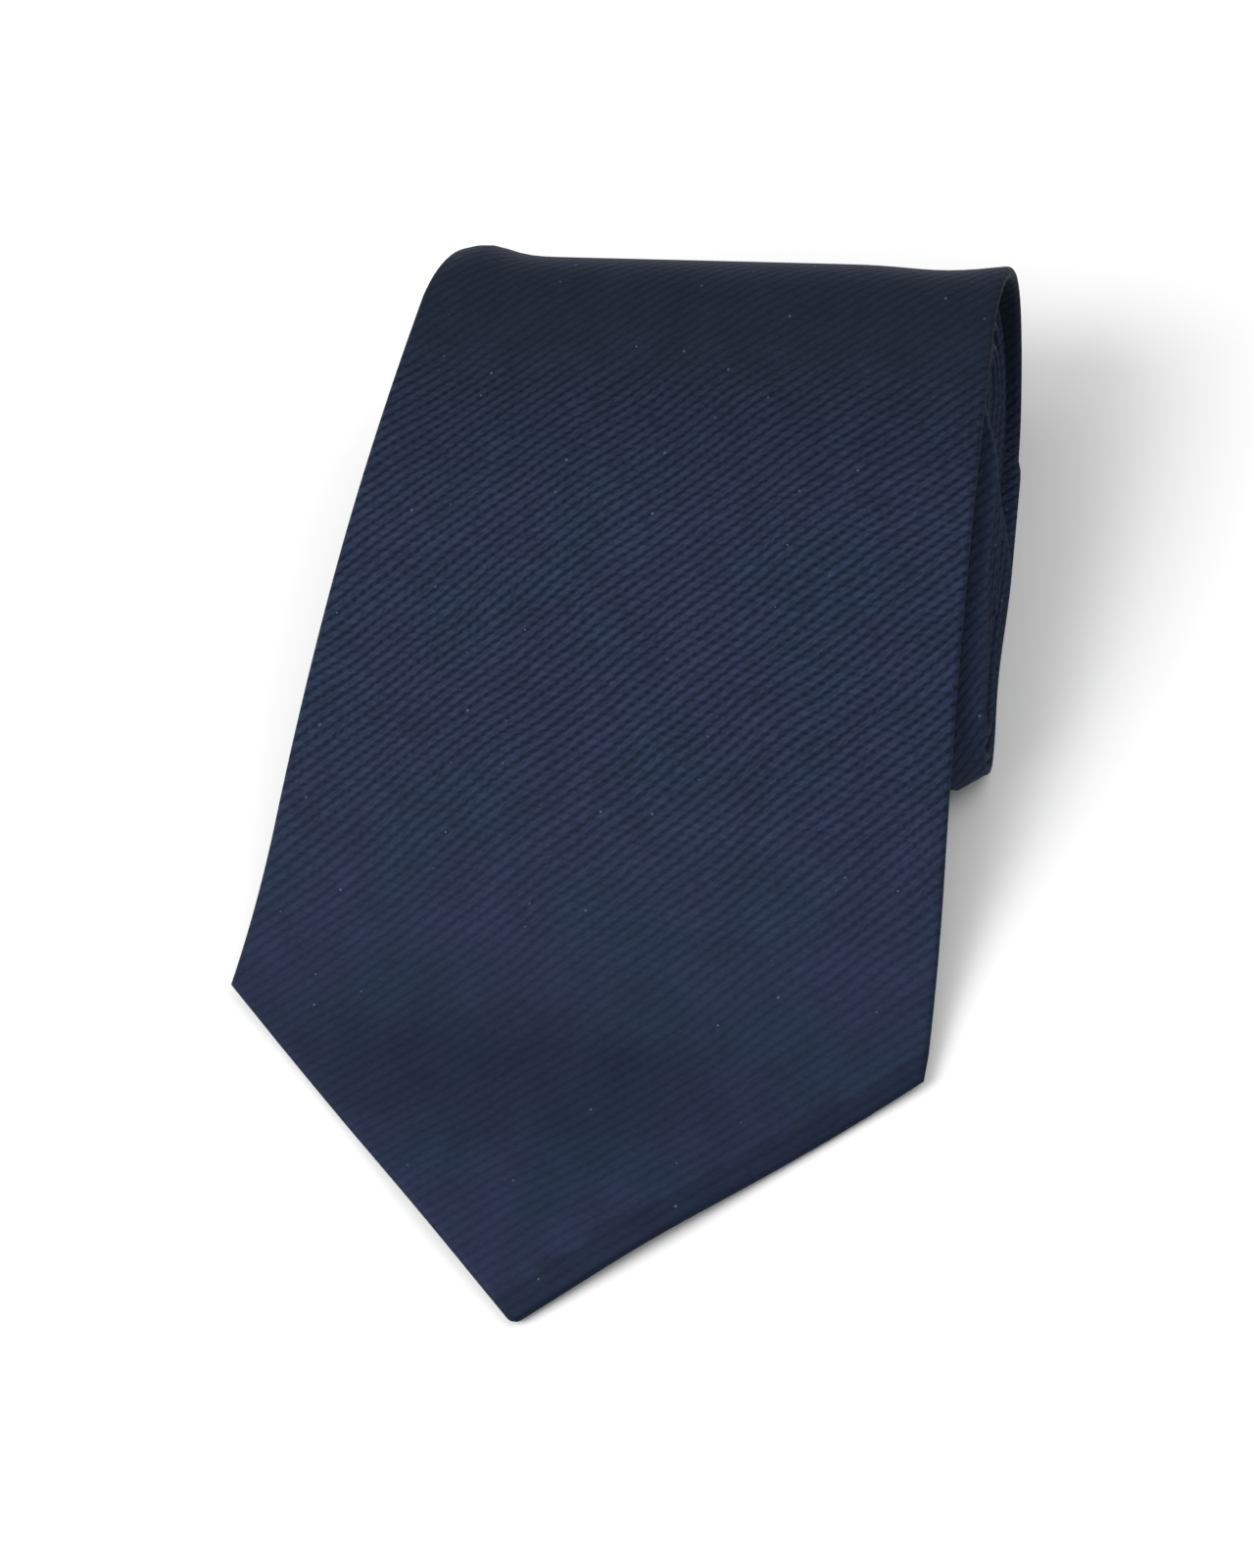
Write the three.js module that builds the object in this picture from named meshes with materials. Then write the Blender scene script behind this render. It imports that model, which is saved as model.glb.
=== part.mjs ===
// Necktie, rolled up from its narrow end with the wide blade lying on top of the roll.
// Built in millimetres with +Z up. The tie is one long folded strip: every piece is a section lofted
// along the same side-view path, which starts at the blade's point, climbs over the roll, folds round
// its back, runs along the table underneath and then winds inwards until the tail's point.
import * as THREE from 'three';

// ---- blade outline (distances s run along the strip from the blade's point) ----
const BLADE_WIDTH = 86;
const BLADE_OFFSET = -0.5;
const BLADE_CORNER_LEFT = 37.8;
const BLADE_CORNER_RIGHT = 34.6;
const BLADE_POINT_SHIFT = 2.9;
const BLADE_POINT_BLUNT = 1.6;
const TAPER = 0.109;
const NECK_WIDTH = 35;
const TAIL_WIDTH = 41;
const TAIL_FLARE_LENGTH = 330;
const TAIL_POINT_LENGTH = 19;

// ---- side view of the flap, from the table up to the crest of the roll ----
const LANDING_S = 26;
const STEEP_S = 59;
const STEEP_DEG = 24.5;
const SHOULDER_S = 89;
const SHOULDER_DEG = 17;
const CREST_S = 133;
const CREST_DEG = 6.5;
const TIP_HINGE_S = 46;
const FLAP_STATION_PITCH = 10;

// ---- the roll under the flap ----
const ROLL_REACH = 51;
const ROLL_FRONT_RADIUS = 7;
const TIGHTEST_BEND = 1.05;
const WRAP_PITCH = 1.0;
const FIRST_WRAP_DEPTH = 1.68;
const TOP_LOOSENESS = 1.0;
const CORE_SHRINK = 10.5;
const WRAP_CROWN = 1.5;
const CROWN_FADE_DEPTH = 8;
const CORE_RADIUS = 1.5;
const CORE_REACH = 6;

// ---- how the wraps sit sideways: flush on the right, stepped on the left ----
const EDGE_AT_CREST = 37.2;
const WRAP_EDGE_OFFSET = 0.3;
const ROLL_SKEW = 0.098;
const WRAP_WANDER = 0.45;
const WANDER_PER_TURN = 1.9;
const WANDER_PHASE = 0.4;

// ---- cloth thicknesses ----
const BLADE_THICKNESS = 1.5;
const WRAP_THICKNESS = 0.88;
const FACE_CLOTH = 0.35;
const WRAP_FACE_CLOTH = 0.25;
const THINNING_START = 40;
const THINNING_LENGTH = 90;
const FOLD_WALL = 0.5;
const FOLD_BEVEL = 0.45;
const BACK_FOLD_GRIP = 0.1;
const PLY_GAP = 0.03;
const LINING = 0.14;
const PAD_SIDE_GAP = 0.3;
const LINING_SIDE_GAP = 0.4;
const PAD_START_S = 3;
const LINING_START_S = 4;

// ---- sewing thread ----
const SEAM_THREAD = 0.5;
const SEAM_THREAD_INSET = 0.03;
const BAR_TACK_WIDTH = 9;
const BAR_TACK_LENGTH = 1.6;
const BAR_TACK_HEIGHT = 0.4;
const SEAM_START_AFTER_APEX = 3.5;
const STITCH_WIDTH = 0.6;
const STITCH_HEIGHT = 0.2;

// ---- back of the blade ----
const HEM_WIDTH = 10;
const TAIL_HEM_SHARE = 0.6;
const BACK_APEX_S = 92;
const BACK_GAP = 0.9;
const TAIL_APEX = 46;
const TIPPING_END_S = 104;
const LINED_MARGIN = 24;
const LABEL_S = 98;
const LABEL_LENGTH = 11;
const LABEL_WIDTH = 42;
const LABEL_THICKNESS = 0.22;
const KEEPER_S = 115;
const KEEPER_BAND = 11;
const KEEPER_SPAN = 36;
const KEEPER_RISE = 0.75;
const KEEPER_THICKNESS = 0.42;
const KEEPER_FOOT = 5;
const KEEPER_SLOPE = 3;
const KEEPER_TACK_WIDTH = 1.0;
const KEEPER_TACK_HEIGHT = 0.3;
const CARE_S = 60;
const CARE_LENGTH = 15;
const CARE_WIDTH = 18;
const CARE_THICKNESS = 0.2;
const CARE_SEAM_INSET = 1.4;
const CARE_SEAM_WIDTH = 0.8;

// ---- shares of the whole length where the face cloth is pieced ----
const NECK_SEAM_SHARE = 0.55;
const TAIL_SEAM_SHARE = 0.76;

// ---- how finely the curves are cut ----
const BACK_ARC_STEPS = 8;
const UNDER_STEPS = 3;
const FRONT_ARC_STEPS = 5;
const TOP_STEPS = 4;
const SHORTEST_STEP = 0.4;
const FLAP_INTEGRATION_STEP = 0.25;

const rad = (deg) => deg * Math.PI / 180;
const lerp = (a, b, u) => a + (b - a) * u;
const clamp = (v, lo, hi) => Math.min(hi, Math.max(lo, v));
const smooth = (u) => {
  const v = clamp(u, 0, 1);
  return v * v * (3 - 2 * v);
};

// ------------------------------------------------------------------ side-view path

function flapSlope(s) {
  if (s <= LANDING_S) return 0;
  if (s <= STEEP_S) return rad(STEEP_DEG) * (s - LANDING_S) / (STEEP_S - LANDING_S);
  if (s <= SHOULDER_S) return rad(lerp(STEEP_DEG, SHOULDER_DEG, (s - STEEP_S) / (SHOULDER_S - STEEP_S)));
  return rad(lerp(SHOULDER_DEG, CREST_DEG, (s - SHOULDER_S) / (CREST_S - SHOULDER_S)));
}

// the face surface of the flap at distance s
function flapPoint(s) {
  const step = FLAP_INTEGRATION_STEP;
  let y = 0;
  let z = BLADE_THICKNESS;
  for (let at = 0; at < s - 1e-9; at += step) {
    const len = Math.min(step, s - at);
    const a = flapSlope(at + len / 2);
    y += len * Math.cos(a);
    z += len * Math.sin(a);
  }
  return { s, y, z, slope: flapSlope(s), wrap: 0 };
}

const crest = flapPoint(CREST_S);
const FOLD_RADIUS = crest.z / (1 + Math.cos(crest.slope));
const ROLL_Y = crest.y + FOLD_RADIUS * Math.sin(crest.slope);

// one closed drop shape of the family: a big bend at the back, a small one in front, a flat base
function dropShape(depth) {
  const loose = TOP_LOOSENESS * Math.min(1, depth / FIRST_WRAP_DEPTH);
  const big = FOLD_RADIUS - depth - loose;
  const small = Math.max(TIGHTEST_BEND, ROLL_FRONT_RADIUS - depth);
  const beyondTightest = Math.max(0, depth - (ROLL_FRONT_RADIUS - TIGHTEST_BEND));
  const reach = Math.max(CORE_REACH, ROLL_REACH - CORE_SHRINK * beyondTightest);
  const tilt = 2 * Math.atan((big - small) / reach);
  const crown = WRAP_CROWN * clamp(1 - depth / CROWN_FADE_DEPTH, 0, 1);
  return { big, small, reach, tilt, crown };
}

function wrapDepth(turn) {
  return turn === 0 ? 0 : FIRST_WRAP_DEPTH + WRAP_PITCH * (turn - 1);
}

// a point of the face surface on a bend: slope is the direction of travel
function bendPoint(cy, cz, radius, slope) {
  return { y: cy - radius * Math.sin(slope), z: cz + radius * Math.cos(slope), slope };
}

// the flap's stations: every place where a piece or an edge changes, and even steps between them
function flapStations() {
  const marks = [0, PAD_START_S, BLADE_CORNER_RIGHT, BLADE_CORNER_LEFT, TIP_HINGE_S, BACK_APEX_S, CREST_S];
  marks.sort((a, b) => a - b);
  const stations = [0];
  for (const mark of marks.filter((s) => s > 0 && s <= CREST_S)) {
    const from = stations[stations.length - 1];
    if (mark - from < SHORTEST_STEP) continue;
    const steps = Math.max(1, Math.round((mark - from) / FLAP_STATION_PITCH));
    for (let i = 1; i <= steps; i += 1) stations.push(lerp(from, mark, i / steps));
  }
  return stations;
}

function buildPath() {
  const path = flapStations().map(flapPoint);
  let last = path[path.length - 1];
  let travelled = CREST_S;
  // wrap counts the turns of the roll so far, rising only along the front bend and the top
  const add = (p, wrap) => {
    travelled += Math.hypot(p.y - last.y, p.z - last.z);
    last = { ...p, s: travelled, wrap };
    path.push(last);
  };
  for (let turn = 0; ; turn += 1) {
    const now = wrapDepth(turn);
    const next = wrapDepth(turn + 1);
    const shape = dropShape(now);
    const startSlope = turn === 0 ? crest.slope : shape.tilt;
    const firstStep = turn === 0 ? 1 : 0;
    for (let i = firstStep; i <= BACK_ARC_STEPS; i += 1) {
      const slope = lerp(startSlope, -Math.PI, i / BACK_ARC_STEPS);
      add(bendPoint(ROLL_Y, now + shape.big, shape.big, slope), turn);
    }
    for (let i = 1; i <= UNDER_STEPS; i += 1) {
      const y = ROLL_Y - shape.reach * i / UNDER_STEPS;
      add({ y, z: now, slope: -Math.PI }, turn);
    }
    if (dropShape(next).big < CORE_RADIUS) break;
    const total = FRONT_ARC_STEPS + TOP_STEPS;
    const after = dropShape(next);
    for (let i = 1; i <= FRONT_ARC_STEPS; i += 1) {
      const slope = lerp(-Math.PI, -2 * Math.PI + after.tilt, i / FRONT_ARC_STEPS);
      add(bendPoint(ROLL_Y - shape.reach, now + shape.small, shape.small, slope), turn + i / total);
    }
    const a = last;
    const b = bendPoint(ROLL_Y, next + after.big, after.big, after.tilt);
    const climb = Math.atan2(b.z - a.z, b.y - a.y);
    for (let i = 1; i < TOP_STEPS; i += 1) {
      const u = i / TOP_STEPS;
      const lift = after.crown * 4 * u * (1 - u);
      const lean = Math.atan(after.crown * 4 * (1 - 2 * u) / shape.reach);
      const y = lerp(a.y, b.y, u) - lift * Math.sin(climb);
      const z = lerp(a.z, b.z, u) + lift * Math.cos(climb);
      add({ y, z, slope: climb + lean }, turn + (FRONT_ARC_STEPS + i) / total);
    }
  }
  return path;
}

function stationAt(s) {
  const i = PATH.findIndex((p) => p.s >= s - 1e-9);
  if (i <= 0) return PATH[Math.max(0, i)];
  const a = PATH[i - 1];
  const b = PATH[i];
  const u = (s - a.s) / (b.s - a.s);
  if (b.s <= CREST_S + 1e-9) {
    return { ...flapPoint(s), y: lerp(a.y, b.y, u), z: lerp(a.z, b.z, u) };
  }
  return {
    s, y: lerp(a.y, b.y, u), z: lerp(a.z, b.z, u), slope: lerp(a.slope, b.slope, u),
    wrap: lerp(a.wrap, b.wrap, u),
  };
}

const PATH = buildPath();
const TOTAL_LENGTH = PATH[PATH.length - 1].s;
const NECK_SEAM_S = NECK_SEAM_SHARE * TOTAL_LENGTH;
const TAIL_SEAM_S = TAIL_SEAM_SHARE * TOTAL_LENGTH;

// distances from the tail's point at which some piece of the tail starts or ends
const TAIL_CUTS = {
  pad: PAD_START_S,
  lining: LINING_START_S,
  corner: TAIL_POINT_LENGTH,
  apex: TAIL_APEX,
  seam: TAIL_APEX + 4,
  liningTop: TAIL_APEX + 10,
};

// every piece shares these stations, so that layers stay parallel through a bend
for (const s of [NECK_SEAM_S, TAIL_SEAM_S, ...Object.values(TAIL_CUTS).map((d) => TOTAL_LENGTH - d)]) {
  const at = stationAt(s);
  const i = PATH.findIndex((p) => p.s >= s);
  const clearAfter = PATH[i].s - s > SHORTEST_STEP;
  const clearBefore = s - PATH[i - 1].s > SHORTEST_STEP;
  if (clearAfter && clearBefore) PATH.splice(i, 0, at);
  else PATH[clearAfter ? i - 1 : i] = at;
}

// ------------------------------------------------------------------ outline and layers along the strip

function stripWidth(s) {
  const toEnd = TOTAL_LENGTH - s;
  const blade = BLADE_WIDTH - TAPER * Math.max(0, s - BLADE_CORNER_LEFT);
  const flare = lerp(TAIL_WIDTH, NECK_WIDTH, (toEnd - TAIL_POINT_LENGTH) / TAIL_FLARE_LENGTH);
  const body = Math.max(blade, NECK_WIDTH, Math.min(flare, TAIL_WIDTH));
  const point = lerp(2 * BLADE_POINT_BLUNT, TAIL_WIDTH, toEnd / TAIL_POINT_LENGTH);
  return Math.min(body, point);
}

// how far a wrap's right edge strays from flush
function stray(wrap) {
  const wander = WRAP_WANDER * Math.sin(WANDER_PER_TURN * wrap + WANDER_PHASE);
  return Math.min(1, wrap) * (WRAP_EDGE_OFFSET + wander);
}

// left and right edges of the strip at a station of the path
function edges(p) {
  if (p.s <= CREST_S) {
    const half = BLADE_WIDTH / 2;
    const side = stripWidth(p.s) / 2;
    const toLeft = clamp(p.s / BLADE_CORNER_LEFT, 0, 1);
    const toRight = clamp(p.s / BLADE_CORNER_RIGHT, 0, 1);
    const leftHalf = toLeft < 1 ? half : side;
    const rightHalf = toRight < 1 ? half : side;
    const left = lerp(BLADE_POINT_SHIFT - BLADE_POINT_BLUNT, BLADE_OFFSET - leftHalf, toLeft);
    const right = lerp(BLADE_POINT_SHIFT + BLADE_POINT_BLUNT, BLADE_OFFSET + rightHalf, toRight);
    return [left, right];
  }
  const settled = EDGE_AT_CREST + ROLL_SKEW * (ROLL_Y - p.y) + stray(p.wrap);
  const foldShare = smooth((p.s - CREST_S) / (Math.PI * FOLD_RADIUS));
  const point = clamp((TAIL_WIDTH - stripWidth(p.s)) / 2, 0, TAIL_WIDTH);
  const nearEnd = TOTAL_LENGTH - p.s < TAIL_POINT_LENGTH ? point : 0;
  const right = lerp(BLADE_OFFSET + stripWidth(CREST_S) / 2, settled, foldShare) - nearEnd;
  return [right - stripWidth(p.s), right];
}

// share of the way from the padded blade to the pressed wraps
function thinning(s) {
  return smooth((s - CREST_S - THINNING_START) / THINNING_LENGTH);
}

function thickness(s) {
  return lerp(BLADE_THICKNESS, WRAP_THICKNESS, thinning(s));
}

function faceCloth(s) {
  return lerp(FACE_CLOTH, WRAP_FACE_CLOTH, thinning(s));
}

// inner edges of the two back folds: a hem at the point, then closing to the centre seam
function backOpening(p) {
  const [left, right] = edges(p);
  const mid = (left + right) / 2;
  const bladeHem = HEM_WIDTH * Math.hypot(BLADE_WIDTH / 2, BLADE_CORNER_LEFT) / BLADE_CORNER_LEFT;
  const tailHem = TAIL_HEM_SHARE * bladeHem;
  const toEnd = TOTAL_LENGTH - p.s;
  let half = BACK_GAP / 2;
  if (p.s < BACK_APEX_S) {
    const open = BLADE_WIDTH / 2 - bladeHem;
    const closing = lerp(open, BACK_GAP / 2, (p.s - BLADE_CORNER_LEFT) / (BACK_APEX_S - BLADE_CORNER_LEFT));
    half = Math.max(half, Math.min((right - left) / 2 - bladeHem, closing));
  }
  if (toEnd < TAIL_APEX) {
    const open = TAIL_WIDTH / 2 - tailHem;
    const closing = lerp(open, BACK_GAP / 2, (toEnd - TAIL_POINT_LENGTH) / (TAIL_APEX - TAIL_POINT_LENGTH));
    half = Math.max(half, Math.min((right - left) / 2 - tailHem, closing));
  }
  return [mid - half, mid + half];
}

// ------------------------------------------------------------------ geometry helpers

// depth is measured inwards from the face surface
function place(p, x, depth) {
  const y = p.y + depth * Math.sin(p.slope);
  const z = p.z - depth * Math.cos(p.slope);
  return new THREE.Vector3(x, y, z);
}

// the stations between two distances, with both ends cut exactly
function stretch(from, to) {
  const inner = PATH.filter((p) => p.s > from + SHORTEST_STEP && p.s < to - SHORTEST_STEP);
  return [stationAt(from), ...inner, stationAt(to)];
}

function loft(rings, flat) {
  const count = rings[0].length;
  const position = [];
  for (const ring of rings) {
    for (const v of ring) position.push(v.x, v.y, v.z);
  }
  const index = [];
  for (let r = 0; r + 1 < rings.length; r += 1) {
    for (let k = 0; k < count; k += 1) {
      const a = r * count + k;
      const b = r * count + (k + 1) % count;
      index.push(a, b, b + count, a, b + count, a + count);
    }
  }
  const start = THREE.ShapeUtils.triangulateShape(flat[0], []);
  const end = THREE.ShapeUtils.triangulateShape(flat[1], []);
  const lastRing = (rings.length - 1) * count;
  for (const [a, b, c] of start) index.push(c, b, a);
  for (const [a, b, c] of end) index.push(lastRing + a, lastRing + b, lastRing + c);
  const geometry = new THREE.BufferGeometry();
  geometry.setAttribute('position', new THREE.Float32BufferAttribute(position, 3));
  geometry.setIndex(index);
  if (signedVolume(position, index) < 0) {
    for (let i = 0; i < index.length; i += 3) [index[i], index[i + 1]] = [index[i + 1], index[i]];
    geometry.setIndex(index);
  }
  geometry.computeVertexNormals();
  return geometry;
}

function signedVolume(position, index) {
  let total = 0;
  for (let i = 0; i < index.length; i += 3) {
    const [a, b, c] = [0, 1, 2].map((k) => new THREE.Vector3().fromArray(position, 3 * index[i + k]));
    total += a.dot(b.cross(c)) / 6;
  }
  return total;
}

// loft a section function along stations; the section gives [x, depth] pairs
function loftStrip(stations, section) {
  const flats = stations.map((p) => section(p).map(([x, d]) => new THREE.Vector2(x, d)));
  const rings = flats.map((flat, i) => flat.map((v) => place(stations[i], v.x, v.y)));
  return loft(rings, [flats[0], flats[flats.length - 1]]);
}

const slab = (x0, x1, d0, d1) => [[x0, d0], [x1, d0], [x1, d1], [x0, d1]];

// folded face cloth: front, two rolled edges and the two back folds, open along the centre
function shellSection(p) {
  const [left, right] = edges(p);
  const [openLeft, openRight] = backOpening(p);
  const t = thickness(p.s);
  const f = faceCloth(p.s);
  const room = (right - left) / 2;
  const bevel = Math.min(FOLD_BEVEL, room / 4);
  const wall = Math.min(FOLD_WALL, room / 3);
  const inL = Math.max(openLeft, left + wall + BACK_FOLD_GRIP);
  const inR = Math.min(openRight, right - wall - BACK_FOLD_GRIP);
  return [
    [inL, t], [left + bevel, t], [left, t / 2], [left + bevel, 0],
    [right - bevel, 0], [right, t / 2], [right - bevel, t], [inR, t],
    [inR, t - f], [right - wall, t - f], [right - wall, f],
    [left + wall, f], [left + wall, t - f], [inL, t - f],
  ];
}

// the pads inside the folded cloth keep clear of its walls
function insideEdges(p, margin) {
  const [left, right] = edges(p);
  return [left + FOLD_WALL + margin, right - FOLD_WALL - margin];
}

function interliningSection(p) {
  const [x0, x1] = insideEdges(p, PAD_SIDE_GAP);
  const f = faceCloth(p.s);
  const toEnd = TOTAL_LENGTH - p.s;
  const lined = p.s < TIPPING_END_S + LINED_MARGIN || toEnd < TAIL_APEX + LINED_MARGIN;
  const top = f + PLY_GAP;
  const bottom = thickness(p.s) - f - PLY_GAP - (lined ? LINING + PLY_GAP : 0);
  return slab(x0, x1, top, bottom);
}

function tippingSection(p) {
  const [x0, x1] = insideEdges(p, LINING_SIDE_GAP);
  const bottom = thickness(p.s) - faceCloth(p.s) - PLY_GAP;
  return slab(x0, x1, bottom - LINING, bottom);
}

// thread lying between the two back folds
function slipStitchSection(p) {
  const [x0, x1] = backOpening(p);
  const mid = (x0 + x1) / 2;
  const top = thickness(p.s) - SEAM_THREAD_INSET;
  const bottom = thickness(p.s) - faceCloth(p.s) + SEAM_THREAD_INSET;
  return slab(mid - SEAM_THREAD / 2, mid + SEAM_THREAD / 2, bottom, top);
}

// something flat lying on the back folds, off the centre line by shift
function onBack(shift, width, d0, d1) {
  return (p) => {
    const [x0, x1] = backOpening(p);
    const mid = (x0 + x1) / 2 + shift;
    const t = thickness(p.s);
    return slab(mid - width / 2, mid + width / 2, t + d0, t + d1);
  };
}

// the keeper: a low arch of self cloth whose two feet lie on the back folds
function keeperSection(p) {
  const [x0, x1] = backOpening(p);
  const mid = (x0 + x1) / 2;
  const t = thickness(p.s) + PLY_GAP;
  const end = KEEPER_SPAN / 2;
  const foot = end - KEEPER_FOOT;
  const arch = foot - KEEPER_SLOPE;
  const rise = KEEPER_RISE;
  const under = [[-end, 0], [-foot, 0], [-arch, rise], [arch, rise], [foot, 0], [end, 0]];
  const over = under.map(([x, d]) => [-x, d + KEEPER_THICKNESS]);
  return [...under, ...over].map(([x, d]) => [mid + x, t + d]);
}

// ------------------------------------------------------------------ the pieces

const COLOURS = {
  silk: [0x262e40, 0.62],
  interlining: [0xd9d4c6, 0.95],
  tipping: [0x20283c, 0.45],
  thread: [0x1d2435, 0.7],
  label: [0x232a38, 0.6],
  care: [0xe6e3da, 0.7],
};

const tie = new THREE.Group();
tie.name = 'necktie';

function piece(name, geometry, slot) {
  const [color, roughness] = COLOURS[slot];
  const material = new THREE.MeshStandardMaterial({ color, roughness, metalness: 0 });
  const mesh = new THREE.Mesh(geometry, material);
  mesh.name = name;
  tie.add(mesh);
}

function strip(name, from, to, section, slot) {
  piece(name, loftStrip(stretch(from, to), section), slot);
}

// folded face cloth, blade to tail
strip('blade_panel_tip', 0, TIP_HINGE_S, shellSection, 'silk');
strip('blade_panel_flap', TIP_HINGE_S, CREST_S, shellSection, 'silk');
strip('blade_panel_roll', CREST_S, NECK_SEAM_S, shellSection, 'silk');
strip('neck_panel', NECK_SEAM_S, TAIL_SEAM_S, shellSection, 'silk');
strip('tail_panel', TAIL_SEAM_S, TOTAL_LENGTH, shellSection, 'silk');

// the wool pad inside it
strip('interlining_tip', PAD_START_S, TIP_HINGE_S, interliningSection, 'interlining');
strip('interlining_flap', TIP_HINGE_S, CREST_S, interliningSection, 'interlining');
strip('interlining_roll', CREST_S, TOTAL_LENGTH - TAIL_CUTS.pad, interliningSection, 'interlining');

// satin linings behind the two points
strip('blade_tipping_tip', LINING_START_S, TIP_HINGE_S, tippingSection, 'tipping');
strip('blade_tipping_flap', TIP_HINGE_S, TIPPING_END_S, tippingSection, 'tipping');
const liningFrom = TOTAL_LENGTH - TAIL_CUTS.liningTop;
strip('tail_tipping', liningFrom, TOTAL_LENGTH - TAIL_CUTS.lining, tippingSection, 'tipping');

// the slip stitch that closes the back, and its bar tack
strip('slip_stitch_flap', BACK_APEX_S + SEAM_START_AFTER_APEX, CREST_S, slipStitchSection, 'thread');
strip('slip_stitch_roll', CREST_S, TOTAL_LENGTH - TAIL_CUTS.seam, slipStitchSection, 'thread');
const barTack = onBack(0, BAR_TACK_WIDTH, PLY_GAP, BAR_TACK_HEIGHT);
strip('blade_bar_tack', BACK_APEX_S + 1, BACK_APEX_S + 1 + BAR_TACK_LENGTH, barTack, 'thread');

// blank label and keeper on the back of the blade
const label = onBack(0, LABEL_WIDTH, PLY_GAP, LABEL_THICKNESS);
strip('name_label', LABEL_S, LABEL_S + LABEL_LENGTH, label, 'label');
const labelTop = LABEL_THICKNESS + PLY_GAP;
for (const [side, sign] of [['left', -1], ['right', 1]]) {
  const atLabelEnd = sign * (LABEL_WIDTH / 2 - 2 * STITCH_WIDTH);
  const stitch = onBack(atLabelEnd, STITCH_WIDTH, labelTop, labelTop + STITCH_HEIGHT);
  strip(`name_label_stitch_${side}`, LABEL_S + 1, LABEL_S + LABEL_LENGTH - 1, stitch, 'thread');
}
strip('keeper_loop', KEEPER_S, KEEPER_S + KEEPER_BAND, keeperSection, 'silk');
for (const [side, sign] of [['left', -1], ['right', 1]]) {
  const atFoot = sign * (KEEPER_SPAN / 2 - 2 * KEEPER_TACK_WIDTH);
  const top = KEEPER_THICKNESS + 2 * PLY_GAP;
  const tack = onBack(atFoot, KEEPER_TACK_WIDTH, top, top + KEEPER_TACK_HEIGHT);
  strip(`keeper_tack_${side}`, KEEPER_S + 1.2, KEEPER_S + KEEPER_BAND - 1.2, tack, 'thread');
}

// blank care label, sewn to the lining along its upper edge
const careTop = CARE_THICKNESS - FACE_CLOTH;
const careEnd = CARE_S + CARE_LENGTH;
strip('care_label', CARE_S, careEnd, onBack(0, CARE_WIDTH, -FACE_CLOTH, careTop), 'care');
const careThread = onBack(0, CARE_WIDTH - 1, careTop + PLY_GAP, careTop + STITCH_HEIGHT);
const careSeamEnd = careEnd - CARE_SEAM_INSET;
strip('care_label_stitch', careSeamEnd - CARE_SEAM_WIDTH, careSeamEnd, careThread, 'thread');

// origin: middle of the base of the whole tie
const box = new THREE.Box3().setFromObject(tie);
const middle = box.getCenter(new THREE.Vector3());
for (const mesh of tie.children) mesh.geometry.translate(-middle.x, -middle.y, -box.min.z);

export default tie;
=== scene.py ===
"""A rolled necktie: the wide blade lies over a flattened roll of the rest of the tie.

The whole tie is one folded strip. Every soft piece is a sheet laid out flat, in cloth millimetres,
and then folded and carried along the same side-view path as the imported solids.
"""

import logging
import math
from bisect import bisect_right
from dataclasses import dataclass, field
from enum import Enum
from typing import Callable, Iterable, List, Optional, Sequence, Tuple

import bmesh
import bpy
from mathutils import Matrix, Vector


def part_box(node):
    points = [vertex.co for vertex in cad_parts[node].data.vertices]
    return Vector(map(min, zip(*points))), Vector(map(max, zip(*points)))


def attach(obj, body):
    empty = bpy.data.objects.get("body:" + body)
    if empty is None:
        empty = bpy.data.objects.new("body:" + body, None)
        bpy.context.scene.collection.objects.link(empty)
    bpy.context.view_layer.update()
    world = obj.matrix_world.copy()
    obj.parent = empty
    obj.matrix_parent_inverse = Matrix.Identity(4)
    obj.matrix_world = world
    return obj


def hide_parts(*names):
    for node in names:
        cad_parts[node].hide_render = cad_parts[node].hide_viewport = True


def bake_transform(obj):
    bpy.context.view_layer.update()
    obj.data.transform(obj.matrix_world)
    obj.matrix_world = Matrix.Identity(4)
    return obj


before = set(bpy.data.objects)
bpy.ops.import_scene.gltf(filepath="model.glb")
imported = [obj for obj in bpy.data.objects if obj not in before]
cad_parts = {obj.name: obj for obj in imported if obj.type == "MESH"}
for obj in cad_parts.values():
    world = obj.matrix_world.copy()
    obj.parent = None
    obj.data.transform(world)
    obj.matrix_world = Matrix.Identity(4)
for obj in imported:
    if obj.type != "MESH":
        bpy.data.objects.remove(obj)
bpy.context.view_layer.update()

MM = 0.001
LOG = logging.getLogger("necktie")

Point = Tuple[float, float]
Triple = Tuple[float, float, float]
Nodes = Sequence[str]


def mix(a: float, b: float, u: float) -> float:
    """A value between a and b, u of the way along."""
    return a + (b - a) * u


def clamp(v: float, lo: float, hi: float) -> float:
    """v kept between lo and hi."""
    return min(hi, max(lo, v))


def smooth(u: float) -> float:
    """An eased step from 0 to 1."""
    v = clamp(u, 0.0, 1.0)
    return v * v * (3.0 - 2.0 * v)


def eased(v: float, start: float, run: float) -> float:
    """An eased step from 0 to 1 that begins at start and takes run."""
    return smooth((v - start) / run)


def bell(v: float, centre: float, width: float) -> float:
    """A smooth bump of height 1 at centre."""
    return math.exp(-(((v - centre) / width) ** 2))


def put(name: str, data: bpy.types.ID) -> bpy.types.Object:
    """A new object in the scene."""
    obj = bpy.data.objects.new(name, data)
    bpy.context.scene.collection.objects.link(obj)
    return obj


def to_mesh(bm: bmesh.types.BMesh, name: str) -> bpy.types.Mesh:
    """Closes a bmesh into a mesh."""
    mesh = bpy.data.meshes.new(name)
    bm.to_mesh(mesh)
    bm.free()
    return mesh


# ---------------------------------------------------------------- shape of the strip


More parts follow.
